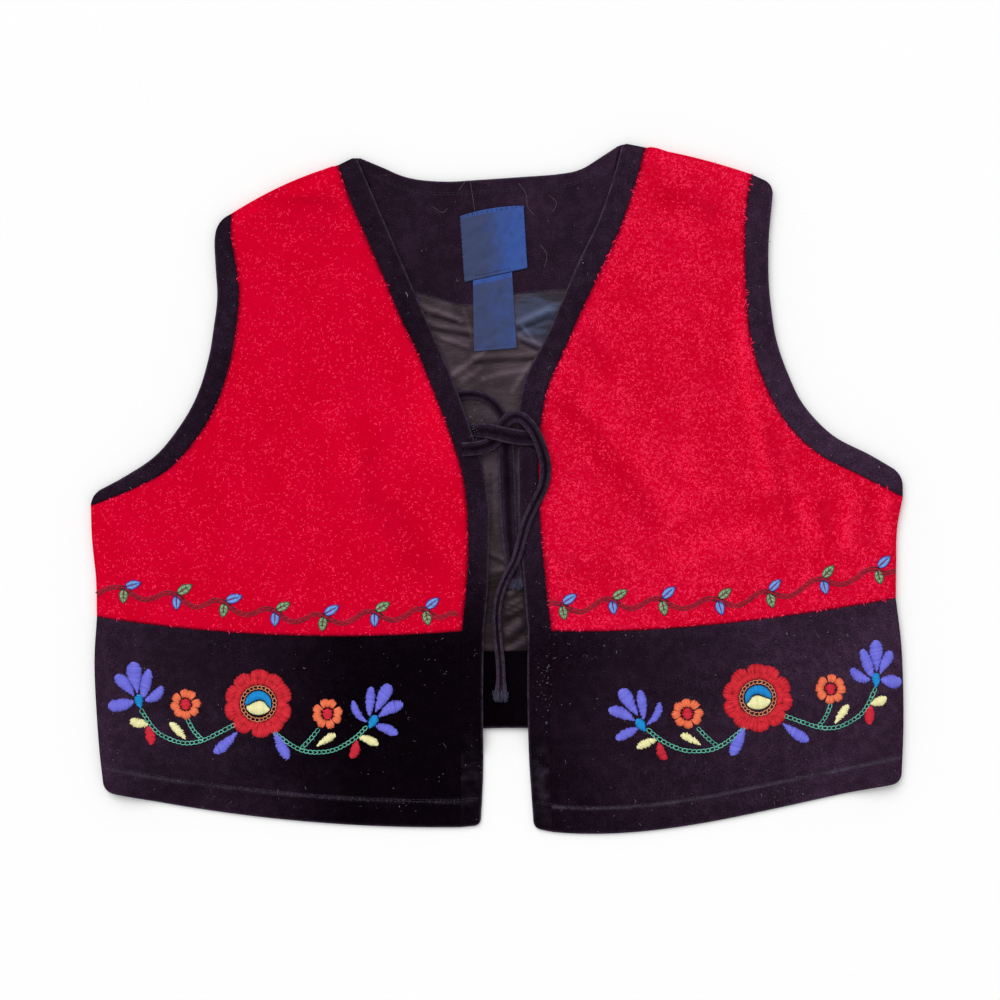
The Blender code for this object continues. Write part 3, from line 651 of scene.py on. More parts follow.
facing_columns, facing_rows = (spaced(run, FACING_STEP) for run in (FACING_ACROSS, FACING_DOWN))
facing_fine = along(FACING_EDGE, np.linspace(0, len(FACING_EDGE) - 1, 400))
facing_x = FACING_REACH * (2 * facing_columns - 1)
facing_foot = places(facing_x, np.interp(facing_x, *facing_fine.T))
facing_sides = []
for rows, foot in ((RIGHT, facing_foot[0]), (LEFT, facing_foot[-1])):
    outward = math.copysign(1, foot[0])
    tuck = down(rows, "edge", np.linspace(FACING_STARTS, FACING_TUCKS, 5)) - [outward * FACING_GAP, 0]
    turn = tuck[-1] + [outward * FACING_TURN[0], -FACING_TURN[1]]
    facing_sides.append(shared_out(np.vstack([tuck, turn, foot]), facing_rows))
neck_line = along(NECK_EDGE, np.linspace(FACING_STARTS, len(NECK_EDGE) - 1 - FACING_STARTS, 400))
facing_top = shared_out(neck_line, facing_columns)
facing_top[0], facing_top[-1] = facing_sides[0][0], facing_sides[1][0]
plan = stretched(facing_columns, facing_rows, facing_top, facing_foot, *facing_sides)
plan = rounded(plan, (0, 0, FACING_CORNER), (-1, 0, FACING_CORNER))
lay_cloth("neck_facing", "back_neck_facing", plan, INNER_LEVEL, INNER_THICK,
          ("cut", "cut", "folded", "folded"), VELVET, nap=FACING_NAP * nap_of(plan))

# The lining's columns lie close where it shows, between the fronts.
hidden = np.linspace(0, SHOWN_FROM, 14, endpoint=False)
lining_half = np.concatenate([hidden, np.linspace(SHOWN_FROM, 0.5, 38, endpoint=False)])
lining_columns = np.concatenate([lining_half, [0.5], 1 - lining_half[::-1]])
lining_rows = spaced(LINING_DOWN, LINING_STEP)
lining_at = LINING_FROM + lining_rows * (WAIST + 1 - LINING_FROM)
lining_start = down(RIGHT, "side", lining_at) + [LINING_INSET, 0]
lining_end = down(LEFT, "side", lining_at) - [LINING_INSET, 0]
lining_x = lining_start[0, 0] + (lining_end[0, 0] - lining_start[0, 0]) * lining_columns
lining_top = places(lining_x, np.interp(lining_x, *facing_fine.T, 127, 127) + LINING_TUCK)
hem_shares = HEM_FACING_INSET + (1 - 2 * HEM_FACING_INSET) * lining_columns
facing_hem = back_edge(HEM_RISE, HEM, hem_shares)
lining_foot = facing_hem + [0, HEM_FACING_DEPTH + SEAM_GAP]
far_down = lining_rows[:, None]
for line, end in ((lining_start, 0), (lining_end, -1)):
    line += (1 - far_down) * (lining_top[end] - line[0]) + far_down * (lining_foot[end] - line[-1])
plan = stretched(lining_columns, lining_rows, lining_top, lining_foot, lining_start, lining_end)
creased = folded_up(plan, CREASES)
rippled = LINING_RIPPLE * waves(plan, 16, 3) * (abs(plan[..., 0]) < RIPPLED_TO)
lie = INNER_LEVEL + np.maximum(creased + rippled, LINING_SINK)
# Painted light and shade on the creases: lighter on their ridges and on the slopes that face the neck, darker
# in their troughs, and lighter still on the ridges low down.
slope = np.gradient(creased, axis=0) / np.maximum(-np.gradient(plan[..., 1], axis=0), 0.2)
lining_light_and_shade = np.interp(plan[..., 1], *np.transpose(LINING_PAINTED_LIGHT))
lining_light_and_shade *= np.clip(0.80 + 1.1 * creased + 1.3 * slope, 0.12, 3)
lining_light_and_shade += soft_step((-25 - plan[..., 1]) / 30) * np.clip(creased, 0, 1)
lay_cloth("satin_lining", "back_lining", plan, lie, INNER_THICK, ("cut", "cut", "sewn", "sewn"), SATIN,
          nap=lining_light_and_shade)

facing_rows = spaced(HEM_FACING_DEPTH, HEM_FACING_STEP)[:, None] + 0 * hem_shares[None]
plan = between((facing_hem + [0, HEM_FACING_DEPTH])[None], facing_hem[None], facing_rows)
lay_cloth("hem_facing", "back_hem_facing", plan, INNER_LEVEL, INNER_THICK,
          ("cut", "cut", "sewn", "folded"), VELVET,
          nap=HEM_FACING_NAP * nap_of(plan))

# ---------------------------------------------------------------- the two woven labels
# Navy woven ribbon, left bare: a wide one sewn flat below the neck, its foot folded under, and a
# narrow one whose top is caught beneath it.
LABEL_LEVEL, LABEL_THICK, LABEL_CREASE, LABEL_RIPPLE = 3.6, 0.6, 0.22, 0.14
LABEL_ACROSS, LABEL_DOWN, LABEL_STEP = 30, 42, 1.3
# A free corner at the foot curls up this far, over this much of the side and of the length.
LABEL_CURL, CURL_ACROSS, CURL_DOWN = 0.5, 5, 9
# Each label's corners, how far its top arches up, the share of its length where it is folded over and
# pressed flat, and how far towards the bluer selvage its left and right edges lie.
Label = namedtuple("Label", "name node_name corners arch pressed_at blue")
LABELS = listed(Label, (
    ("woven_neck_label", "neck_label", ((-22.9, 170.1), (17, 176.6), (19.3, 137.6), (-20.1, 128.8)),
     1.6, 0.93, (0.30, 1.02)),
    ("woven_care_label", "care_label", ((-14.7, 129.7), (9.7, 135.1), (12.6, 87.6), (-14.1, 85.3)),
     0, 0.97, (0.52, 0.66)),
))


def woven_ribbon():
    """Navy damask ribbon: slate over most of it, and bluer towards one selvage."""
    constants = {"Roughness": 0.55, "Specular IOR Level": 0.25, "Sheen Weight": 0.08}
    ribbon = Finish("navy_woven_ribbon", constants)
    across = ribbon.math("ADD", ribbon.read("nap"), ribbon.ramp(ribbon.noise(150), 0.3, 0.7, -0.05, 0.05))
    colour = ribbon.mix(ribbon.ramp(across, 0.50, 0.90), (0.040, 0.058, 0.165, 1), (0.028, 0.098, 0.430, 1))
    smudged = ribbon.ramp(ribbon.noise(200, 3, 0.6), 0.42, 0.7, 0, 0.30)
    colour = ribbon.mix(smudged, colour, (0.026, 0.032, 0.078, 1))
    crossed = ribbon.times(*(
        ribbon.node("TexWave", {"Vector": ribbon.place, "Scale": scale}, 1, bands_direction=way)
        for scale, way in ((620, "X"), (780, "Y"))
    ))
    colour = ribbon.mix(ribbon.ramp(crossed, 0, 0.5, 0.45, 0), colour, (0.012, 0.016, 0.045, 1))
    return ribbon.done(colour, crossed, 0.12 * MM, 0.7)


RIBBON = woven_ribbon(), "ribbon"
label_columns, label_rows = (spaced(run, LABEL_STEP) for run in (LABEL_ACROSS, LABEL_DOWN))
for label in LABELS:
    top_left, top_right, low_right, low_left = np.array(label.corners)
    top, foot = between(top_left, top_right, label_columns), between(low_left, low_right, label_columns)
    plan = between(top[None], foot[None], label_rows[:, None])
    arch = label.arch * 4 * label_columns * (1 - label_columns)
    plan[..., 1] += arch * (1 - label_rows[:, None]) ** 2
    far, to_foot = runs(plan, 0)
    lie = LABEL_LEVEL + LABEL_RIPPLE * waves(plan, 9, 9)
    curl = soft_step(1 - runs(plan, 1)[1] / CURL_ACROSS) * soft_step(1 - to_foot / CURL_DOWN)
    lie += LABEL_CURL * (label_rows[:, None] > 0.5) * curl
    blue = np.interp(label_columns, (0, 1), label.blue)[None] + 0.35 * (label_rows[:, None] < 0.06)
    lay_cloth(label.name, label.node_name, plan, lie, LABEL_THICK, ("cut", "cut", "folded", "folded"), RIBBON,
              nap=blue,
              pressed=LABEL_CREASE * bell(far - label.pressed_at * far[-1], 0.8))

# ---------------------------------------------------------------- the two fronts
# Each front is a red felt panel above a black velveteen lower band, with a velveteen band down its
# front edge and another round its armhole. They lie on the back and roll down to it at their seams.
FRONT_THICK, FRONT_ACROSS, FRONT_STEP, FRONT_RIPPLE, FRONT_CORNER = 2.2, 215, 2.3, 0.16, 4
# A front rolls down from one level to the other over its edges, and falls to the table past the hem.
EDGE_LEVEL, LAID_LEVEL, EDGE_ROLL, HEM_CLEAR, HEM_FALL = 2.3, 4.6, 9, 4, 14
# The fronts' soft folds.
FOLDS = listed(Fold, (
    ("right_below_shoulder", (-141, 179), (-104, 175), 5, -1.25),
    ("right_under_shoulder", (-128, 163), (-106, 160), 8, -0.5),
    ("right_over_knot", (-26, 42), (-25, 52), 20, 2.9),
    ("right_ribs", (-79, 17), (-76, -14), 6, -0.8),
    ("right_front_edge", (-64, -20), (-44, -50), 11, -1),
    ("right_breast", (-104, 40), (-92, 18), 9, 0.5),
    ("left_armhole_ridge", (152, 105), (159, 53), 4.5, 1.2),
    ("left_armhole_ridge_low", (159, 53), (171, 0), 4.5, 1.3),
    ("left_armhole_trough", (169, 32), (184, -18), 5, -0.8),
    ("left_first_rib", (191, -12), (200, -36), 4, 1.1),
    ("left_rib_trough", (203, -12), (209.5, -34), 4, -0.7),
    ("left_second_rib", (221, -8), (218, -36), 4.5, 1.2),
    ("left_side_trough", (233, -8), (232, -36), 4, -0.5),
    ("left_side_rib", (243, -10), (246, -38), 4, 1.1),
    ("left_breast", (46, 49), (96, -20), 8, -0.95),
    ("left_breast_ridge", (60, 55), (112, -12), 8, 0.6),
    ("left_below_shoulder", (106, 181), (136, 171), 7, -0.8),
    ("left_middle", (58, 88), (66, 78), 7, -0.6),
    ("left_low_ridge", (112, -46), (158, -30), 8, 0.8),
    ("left_chest", (118, 20), (124, -10), 8, 0.6),
    ("left_low_trough", (50, -52), (80, -55), 8, -0.6),
))


def front_lie(rows, plan):
    """The height of a front's underside, as it lies on the lining, on the back or on the table."""
    outline = [rows[0].edge, rows[0].seam, rows[0].side, rows[0].rim]
    outline += [row.rim for row in rows[1:UNDERARM + 1]] + [row.side for row in rows[UNDERARM:]]
    near = np.min([distance_to(plan, a, b) for a, b in zip(outline, outline[1:])], axis=0)
    folds = FRONT_RIPPLE * waves(plan, 55, 5) + folded_up(plan, FOLDS)
    level = EDGE_LEVEL + soft_step(near / EDGE_ROLL) * (LAID_LEVEL - EDGE_LEVEL + folds)
    right, left = np.array(RIGHT[HEM].side), np.array(LEFT[HEM].side)
    share = np.clip((plan[..., 0] - right[0]) / (left[0] - right[0]), 0, 1)
    hem = right[1] + (left[1] - right[1]) * share + HEM_RISE * 4 * share * (1 - share)
    return level * soft_step(1 - (hem - HEM_CLEAR - plan[..., 1]) / HEM_FALL)


def panel(rows, row_at, shares):
    """A front's plan from side to seam, bowed as its rows say."""
    side, seam = down(rows, "side", row_at)[:, None], down(rows, "seam", row_at)[:, None]
    plan = between(side, seam, shares[None] + 0 * row_at[:, None])
    bow, skew = (np.interp(row_at, np.arange(len(rows)), values)[:, None]
                 for values in ([row.bow for row in rows], [row.skew for row in rows]))
    plan[..., 1] += bow * 4 * shares * (1 - shares) * (1 + skew * (2 * shares - 1))
    return plan


# The hem's stitching runs this far above the hem, where each front has rows close together, and the
# nap along it is rubbed light. Beside its seams the felt is painted darker this far, as seam shadow with
# the velveteen's black pile over it.
HEM_STITCH_UP, HEM_STITCH_SHARES = 16, np.arange(0.31, 0.445, 0.018)
HEM_RUB, BAND_RUB = {"right": 0.42, "left": 0.80}, {"right": 0.16, "left": 0.30}
PILE_REACH, PILE_CLEAR = 1.9, 50


def above_stitching(plan):
    return plan[..., 1] - plan[-1:, :, 1] - HEM_STITCH_UP


def seam_shade_and_pile(plan, row_at):
    """How dark the felt is beside the seams that join it to the velveteen: painted seam shadow, with the
    black pile lying over it.
    """
    armhole = np.where(row_at[:, None] < UNDERARM, runs(plan, 1)[0], PILE_CLEAR)
    return bell(np.minimum(np.minimum(armhole, runs(plan, 1)[1]), 1.6 * runs(plan, 0)[1]), PILE_REACH)


for side, rows in SIDES.items():
    columns = spaced(FRONT_ACROSS, FRONT_STEP)
    upper_rows = spaced_rows(rows, "seam", 0, WAIST, FRONT_STEP)
    plan = panel(rows, upper_rows, columns)
    # The felt's fold heights give it painted light on its ridges and painted shade in its troughs, and its
    # seams painted shadow.
    lay_cloth(f"{side}_red_front", f"{side}_upper_front", plan, front_lie(rows, plan), FRONT_THICK,
              PANEL_EDGES, FELT,
              nap=curliness(plan), lift=folded_up(plan, FOLDS), rub_and_painted_light=seam_shade_and_pile(plan, upper_rows))

    lower_rows = spaced_rows(rows, "seam", WAIST, HEM, FRONT_STEP)
    lower_rows = np.union1d(lower_rows, HEM - HEM_STITCH_SHARES)
    plan = panel(rows, lower_rows, columns)
    plan[..., 1] -= SEAM_GAP * (lower_rows == WAIST)[:, None]
    plan = rounded(plan, (0, -1, HEM_CORNER))
    streaks = np.clip(1 + 0.5 * waves(plan, 30, 4), 0.2, 1.6)
    lay_cloth(f"{side}_velveteen_lower_front", f"{side}_lower_front", plan, front_lie(rows, plan),
              FRONT_THICK, BAND_EDGES, VELVET,
              rub_and_painted_light=HEM_RUB[side] * bell(above_stitching(plan), 0.9) * streaks)

    plan = strip(rows, "seam", "edge", np.union1d(upper_rows, lower_rows))
    plan = rounded(plan, (-1, -1, FRONT_CORNER), (-1, 0, NECK_CORNER))
    up = above_stitching(plan)
    streaks = np.clip(0.6 + 0.8 * waves(plan, 9, 6), 0, 1.4) * np.sqrt(1 - 0.9 * binding_columns)
    lay_cloth(f"{side}_front_binding", f"{side}_front_band", plan, front_lie(rows, plan), FRONT_THICK,
              ("sewn", "folded", "sewn", "folded"), VELVET,
              rub_and_painted_light=BAND_RUB[side] * (bell(up - 14, 20) + 0.9 * bell(up, 1.6)) * streaks)

    plan = armhole_strip(rows, FRONT_STEP)
    lay_cloth(f"{side}_armhole_binding", f"{side}_armhole_band", plan, front_lie(rows, plan), FRONT_THICK,
              BINDING_EDGES, VELVET)

# ---------------------------------------------------------------- the flowers on the lower bands
# Flower sprays worked by hand in matt wool on each lower band: petals and leaves in satin stitch laid
# side by side, roses in two rows of long and short stitches, and stems and rings in chain stitch.
PITCH, THREAD_HALF = 0.42, 0.27  # satin stitches lie this far apart, each twice this thick
STITCH_RISE, STITCH_SINK = 0.30, 0.35  # a stitch's middle stands this far proud, and its ends sink in
BLUNTER, UNEVEN, SLANT = 0.74, 0.27, 0.22  # how round, how ragged and how slanting the petals are
# Along a stitch: where its stations lie, and how thick and how dark it is there. Its darker ends are
# painted shade where it sinks into the cloth.
STATIONS = np.array([0, 0.14, 0.5, 0.86, 1])
TAPER = np.array([0.55, 0.95, 1.05, 0.95, 0.55])
ENDS_DARK = np.array([1.3, 0.7, 0, 0.7, 1.3])
# The stems' links: pitch, length and width. Around a link, how it rises and how thick it is.
STEM_LINK, RING_LINK = (2.75, 3.6, 2.65), (3.5, 2.6)
CHAIN_HALF = {"green": 0.26, "peach": 0.24}
LINK_RISE = 0.34 * np.array([-1.2, 0.6, 1, 1, 1, 1.1, 1, 1, 1, 0.6, -1.2])
LINK_TAPER = np.array([0.7, 1, 1, 1, 1, 1.1, 1, 1, 1, 1, 0.7])

# Places are measured from the rose's middle, before the spray is turned to follow its hem.
# bend curves a petal to its left, seen from base to tip, and fullest says where it is widest.
Petal = namedtuple("Petal", "wool base tip width fullest blunt bend", defaults=(0,))
PETALS = listed(Petal, (
    ("violet", (-75.5, 6.6), (-78.6, 26), 10.4, 0.70, 0.62),
    ("violet", (-71.9, 4), (-68.4, 21.6), 7.2, 0.52, 0.52),
    ("violet", (-70.6, 2), (-60.4, 10.9), 6.8, 0.55, 0.55, -2.2),
    ("violet", (-77.7, 5), (-89.4, 17.2), 8, 0.66, 0.55, -0.9),
    ("violet", (-78, 1.4), (-93.8, -1.9), 8.6, 0.58, 0.52, 0.6),
    ("blue", (-73.6, -3.2), (-75.2, 5.6), 5.7, 0.66, 0.60),
    ("cream", (-69, -12.9), (-80.2, -10.5), 6.2, 0.55, 0.62, 0.5),
    ("red", (-69.4, -14), (-66.5, -25.6), 6.8, 0.52, 0.75, 0.5),
    ("cream", (-45.6, -22.2), (-55.4, -12), 5.2, 0.62, 0.60, -0.5),
    ("violet", (-13.2, -17.6), (-27.4, -31), 7.2, 0.66, 0.62, 0.4),
    ("violet", (9.8, -17.2), (18.8, -34.4), 7.4, 0.64, 0.62, -0.4),
    ("cream", (36.6, -26.6), (48, -19.2), 5, 0.66, 0.55, 0.4),
    ("red", (61.6, -23), (58, -34.6), 6.8, 0.60, 0.68, 0.3),
    ("cream", (62.8, -21.4), (74.8, -25.6), 5.8, 0.58, 0.62, 0.8),
    ("violet", (67.9, -11.2), (59.2, 1.8), 5, 0.60, 0.60, 2.3),
    ("violet", (69.6, -7.8), (70.4, 10.4), 6.3, 0.62, 0.55, 0.3),
    ("violet", (73, -5.2), (81.4, 12.2), 8.8, 0.72, 0.50, -0.4),
    ("violet", (75.2, -8.4), (90.2, 0), 7.8, 0.64, 0.60, 1.2),
    ("violet", (73.4, -13.8), (86.9, -19), 6.6, 0.56, 0.58, 0.5),
    ("blue", (69.2, -15.4), (73.6, -7.4), 5.8, 0.62, 0.62),
))
STEMS = (
    ((-73.6, -3.4), (-69.8, -9.2), (-66.1, -14.6), (-60.5, -19.6), (-49.2, -24.2), (-40.5, -24.4),
     (-33, -22.3), (-24.2, -18), (-15, -13.2)),
    ((-44.4, -9.6), (-40.6, -16.6), (-35.4, -22.2)),
    ((7.4, -15.6), (13.9, -21.1), (22, -26.7), (29.5, -29.8), (38.9, -30.4), (47.7, -28.8),
     (55.2, -25), (61.4, -20.6), (67.2, -14.8)),
    ((37.8, -15.6), (32.7, -21.9), (27, -27.8)),
)
BLOSSOMS = ((-45.5, -0.4), (43.1, -6.4))  # the small orange flowers
BLOSSOM_LOBES, BLOSSOM_INNER, BLOSSOM_OUTER, BLOSSOM_LOBE, BLOSSOM_HEART = 8, 4.1, 7.6, 2.1, 3.4
BLOSSOM_RAYS, BLOSSOM_SPREAD = 104, 0.90
ROSE_LOBES, ROSE_INNER, ROSE_MEET, ROSE_OUTER, ROSE_LOBE = 10, 11.5, 15.6, 18.3, 3.5
ROSE_TURN, ROSE_SPREAD, OUTER_EVEN_AT, INNER_EVEN_AT = 0.63, 1.02, 19.4, 13.6
RING_RADIUS, RING_LINKS, HEART_RADIUS, CREAM_RIM = 10.2, 24, 8.2, 0.93
HEART_LINE = ((-8.8, -1.9), (-5.6, -0.9), (-2.4, 1.2), (0.6, 2.2), (3.4, 1.4), (5.6, -1.6), (8.4, -4.6))
# Each spray's middle, which way round it is, the turn of its halves in degrees, how far its second
# half is drawn out, and how much of its outermost petal shows where the cloth rolls under. The left
# front's spray is the right front's in a mirror.
Spray = namedtuple("Spray", "middle hand first_turn second_turn drawn rolled")
SPRAYS = {
    "right": Spray((-148.6, -134.6), 1, 0, 0, 1, 1),
    "left": Spray((163.4, -131.1), -1, 7.6, 4.3, 1.04, 0.80),
}
ROLL_FROM, TURN_OVER = 76, 44
WOOLS = {
    "violet": ((0.120, 0.116, 0.60), (0.235, 0.235, 0.84)),
    "blue": ((0.007, 0.18, 0.50), (0.022, 0.36, 0.78)),
    "cream": ((0.74, 0.70, 0.32), (0.98, 0.94, 0.58)),
    "red": ((0.46, 0.014, 0.030), (0.80, 0.040, 0.070)),
    "orange": ((0.66, 0.100, 0.040), (1, 0.270, 0.130)),
    "rose": ((0.34, 0.006, 0.014), (0.88, 0.042, 0.064)),
    "green": ((0.020, 0.22, 0.16), (0.230, 0.74, 0.56)),
    "peach": ((0.56, 0.14, 0.06), (0.95, 0.40, 0.20)),
}


def raised(flat, height):
    """Flat places, with their heights."""
    return np.concatenate([flat, np.broadcast_to(height, flat.shape[:-1])[..., None]], axis=-1)


def left_of(run):
    return places(-run[..., 1], run[..., 0])


def tube(sides, stations):
    """A closed tube along z, with a ring of its corners at each station."""
    bm = bmesh.new()
    bmesh.ops.create_cone(bm, cap_ends=True, segments=sides, radius1=1, radius2=1, depth=1)
    lengthwise = [edge for edge in bm.edges if abs(edge.verts[0].co.z - edge.verts[1].co.z) > 0.5]
    bmesh.ops.subdivide_edges(bm, edges=lengthwise, cuts=stations - 2)
    return bm


def faces_along(path):
    """The flat side's and the face's directions at each station of a path."""
    ahead = unit(np.gradient(path, axis=-2))
    aside = np.cross(ahead, [0, 0, 1])
    aside /= np.linalg.norm(aside, axis=-1, keepdims=True) + 1e-9
    return aside, np.cross(aside, ahead)


def threads(name, wool, paths, half, shade, sides=4, flat=1):
    """Many like threads as one piece, along paths, each one's stations.

    half is its half width there, shade how light it is there, and flat how high it is for its width.
    A flattened thread's faces stay crisp, to catch the light.
    """
    count, stations = paths.shape[:2]
    half, shade = (np.broadcast_to(value, (count, stations)) for value in (half, shade))
    piece = new_piece(name, tube(sides, stations), THREADS[wool], {}, flat == 1)
    copies = piece.modifiers.new("copies", "ARRAY")
    copies.count, copies.use_relative_offset = count, False
    mesh = bpy.data.meshes.new_from_object(piece.evaluated_get(bpy.context.evaluated_depsgraph_get()))
    piece.modifiers.clear()
    piece.data = mesh
    local = np.empty(len(mesh.vertices) * 3)
    mesh.vertices.foreach_get("co", local)
    local = local.reshape(count, -1, 3)
    at = np.arange(count)[:, None], np.rint((local[..., 2] + 0.5) * (stations - 1)).astype(int)
    aside, face = faces_along(paths)
    across = local[..., 1:2] * face[at] * flat - local[..., 0:1] * aside[at]
    mesh.vertices.foreach_set("co", ((paths[at] + across * half[at][..., None]) * MM).ravel())
    mesh.attributes.new("shade", "FLOAT", "POINT").data.foreach_set("value", shade[at].ravel())
    mesh.update()
    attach(piece, "root")
    return piece


def wool_thread(name, dark, light, sheen=0.10, pale=0.4):
    """Matt crewel wool: darker where a stitch goes down, as painted shade, with fine fibre standing off it,
    as pale as said.
    """
    tint = (*(pale + (1 - pale) * c for c in light), 1)
    wool = Finish(name, {"Roughness": 0.95, "Specular IOR Level": 0.1 * pale, "Sheen Weight": sheen,
                         "Sheen Roughness": 0.5, "Sheen Tint": tint})
    fibre = wool.noise(2600)
    level = wool.math("ADD", wool.read("shade"), wool.ramp(fibre, 0.3, 0.7, -0.22, 0.22))
    return wool.done(wool.mix(level, (*dark, 1), (*light, 1)), fibre, 0.12 * MM, 0.7)


def satin_petal(petal, rng):
    """Both ends of the stitches that cross a petal side by side, from its base to its tip."""
    base, run = np.array(petal.base), np.subtract(petal.tip, petal.base)
    length = np.linalg.norm(run)
    left = left_of(run) / length
    power = math.log(0.5) / math.log(petal.fullest)
    count = round(length / PITCH)
    share = (np.arange(count) + 0.5) / count

    def reach(at):
        return petal.width / 2 * np.sin(math.pi * at**power) ** (BLUNTER * petal.blunt)

    ends = []
    for turn in (-1, 1):
        slid = np.clip(share + turn * SLANT * reach(share) / length, 0.004, 0.996)
        half = np.maximum(reach(slid) + rng.normal(0, UNEVEN, count), 0.3)
        middle = base + run * slid[:, None] + left * (4 * petal.bend * slid * (1 - slid))[:, None]
        away = unit(left - run / length * (4 * petal.bend * (1 - 2 * slid) / length)[:, None])
        ends.append(middle + away * turn * half[:, None])
    return np.stack(ends, axis=1)


def ray(angle, radius):
    """Places that far out from the middle, at an angle."""
    return places(np.cos(angle) * radius, np.sin(angle) * radius)


def lobed(lobes, inner, outer, lobe, count, turn, spread, rng):
    """Both ends of stitches that run out from a ring into round lobes, fanned a little in each."""
    share = (np.arange(count) + 0.5) / count * lobes
    which, u = np.floor(share), 2 * (share % 1) - 1
    uneven = rng.normal(0, 0.06, lobes)[which.astype(int)]
    middle = (which + 0.5 + uneven) * 2 * math.pi / lobes + turn
    fan = u * math.pi / lobes
    reach = outer + lobe * np.sqrt(np.maximum(1 - np.abs(u) ** 2.4, 0)) + rng.normal(0, 0.22, count)
    start = ray(middle + fan * 0.98, inner + rng.normal(0, 0.35, count))
    return np.stack([start, ray(middle + fan * spread, reach)], axis=1)


def rounds_of_petals(rng):
    """The stitches of the rose and of the two orange flowers, by wool."""
    around = 2 * math.pi
    outer_count, inner_count = (round(around * out / PITCH) for out in (OUTER_EVEN_AT, INNER_EVEN_AT))
    outer = lobed(ROSE_LOBES, ROSE_MEET, ROSE_OUTER, ROSE_LOBE, outer_count, ROSE_TURN, ROSE_SPREAD, rng)
    angle = (np.arange(inner_count) + 0.5) / inner_count * around
    meet = ROSE_MEET + 1.5 + 0.9 * np.cos(angle * ROSE_LOBES) + rng.normal(0, 0.8, inner_count)
    inner = np.stack([ray(angle, ROSE_INNER + rng.normal(0, 0.2, inner_count)), ray(angle, meet)], axis=1)
    outer[:, 0] += ray(np.arctan2(*outer[:, 0].T[::-1]), rng.normal(-1.3, 0.9, len(outer)))
    found = {"rose": [outer, inner], "orange": [], "red": []}
    for blossom in BLOSSOMS:
        turn = rng.uniform(0, 0.7)
        rays = lobed(BLOSSOM_LOBES, BLOSSOM_INNER, BLOSSOM_OUTER, BLOSSOM_LOBE, BLOSSOM_RAYS, turn,
                     BLOSSOM_SPREAD, rng)
        found["orange"].append(rays + blossom)
        y = np.arange(-BLOSSOM_HEART + 0.2, BLOSSOM_HEART, PITCH)
        x = np.sqrt(BLOSSOM_HEART**2 - y**2) + rng.normal(0, 0.5, y.shape)
        found["red"].append(np.stack([places(-x, y), places(x, y)], axis=1) + blossom)
    x = np.arange(-HEART_RADIUS + 0.25, HEART_RADIUS - 0.2, PITCH)
    rim = np.sqrt(HEART_RADIUS**2 - x**2)
    line = np.interp(x, *np.transpose(HEART_LINE)) + rng.normal(0, 0.12, x.shape)
    blue = np.stack([places(x, line + 0.35), places(x, rim)], axis=1)
    found["blue"] = [blue[rim - line > 0.9]]
    cream = np.stack([places(x, -rim * CREAM_RIM), places(x, line)], axis=1)
    found["cream"] = [cream[(line + rim * CREAM_RIM > 0.9) & (abs(x) < HEART_RADIUS - 0.9)]]
    return found


def chained(points, pitch, length, width, rng):
    """Chain stitch along a line: each link loops out from inside the one before and back."""
    count = max(2, round(measured(by_length(points, np.linspace(0, 1, 200)))[-1] / pitch))
    start = by_length(points, np.arange(count) / count)
    heading = unit(by_length(points, np.minimum((np.arange(count) + 0.9) / count, 1)) - start)
    t = np.linspace(0, 2 * math.pi, 11)
    out, aside = length / 2 * (1 - np.cos(t)), width / 2 * np.sin(t) * (0.86 + 0.14 * np.cos(t))
    loop = heading[:, None] * out[:, None] + left_of(heading)[:, None] * aside[:, None]
    return start[:, None] + (1 + rng.normal(0, 0.05, (count, 1, 1))) * loop


def turned(flat, spray):
    """Places of the spray, turned about the rose and carried to its middle."""
    x, y = flat[..., 0], flat[..., 1]
    turn = (spray.second_turn - spray.first_turn) * soft_step(0.5 + x / TURN_OVER)
    a = np.radians(spray.first_turn + turn)
    x = np.where(x > 0, x * spray.drawn, x)
    x = np.where(x < -ROLL_FROM, -ROLL_FROM + (x + ROLL_FROM) * spray.rolled, x) * spray.hand
    return places(x * np.cos(a) - y * np.sin(a), x * np.sin(a) + y * np.cos(a)) + spray.middle


def top_of(rows, flat):
    """The height of a front's upper face at those places."""
    return front_lie(rows, flat) + FRONT_THICK


def satin_stitches(name, wool, ends, rows, half, rise, rng, ends_dark=0.35):
    """Satin stitches between their ends: each comes up out of the cloth, over in a low arch and down."""
    flat = between(ends[:, :1], ends[:, 1:], STATIONS)
    long = np.linalg.norm(ends[:, 1] - ends[:, 0], axis=1)[:, None]
    arch = rise * (0.6 + np.minimum(long / 6, 1.2)) * np.sin(math.pi * STATIONS) ** 0.6
    sunk = np.array([-STITCH_SINK, 0.05, 0, 0.05, -STITCH_SINK])
    paths = raised(flat, top_of(rows, flat.mean(axis=1))[:, None] + arch + sunk)
    threads(name, wool, paths, half * TAPER, stitch_shades(len(ends), rng, ends_dark), 5)


def stitch_shades(count, rng, ends_dark):
    """How light each stitch is along its length: it varies at random, and its ends are darker as painted
    shade where it sinks in.
    """
    return np.clip(0.62 + rng.normal(0, 0.15, (count, 1)) - ends_dark * ENDS_DARK, 0, 1)


THREADS = {name: wool_thread(f"{name}_wool", *tones) for name, tones in WOOLS.items()}

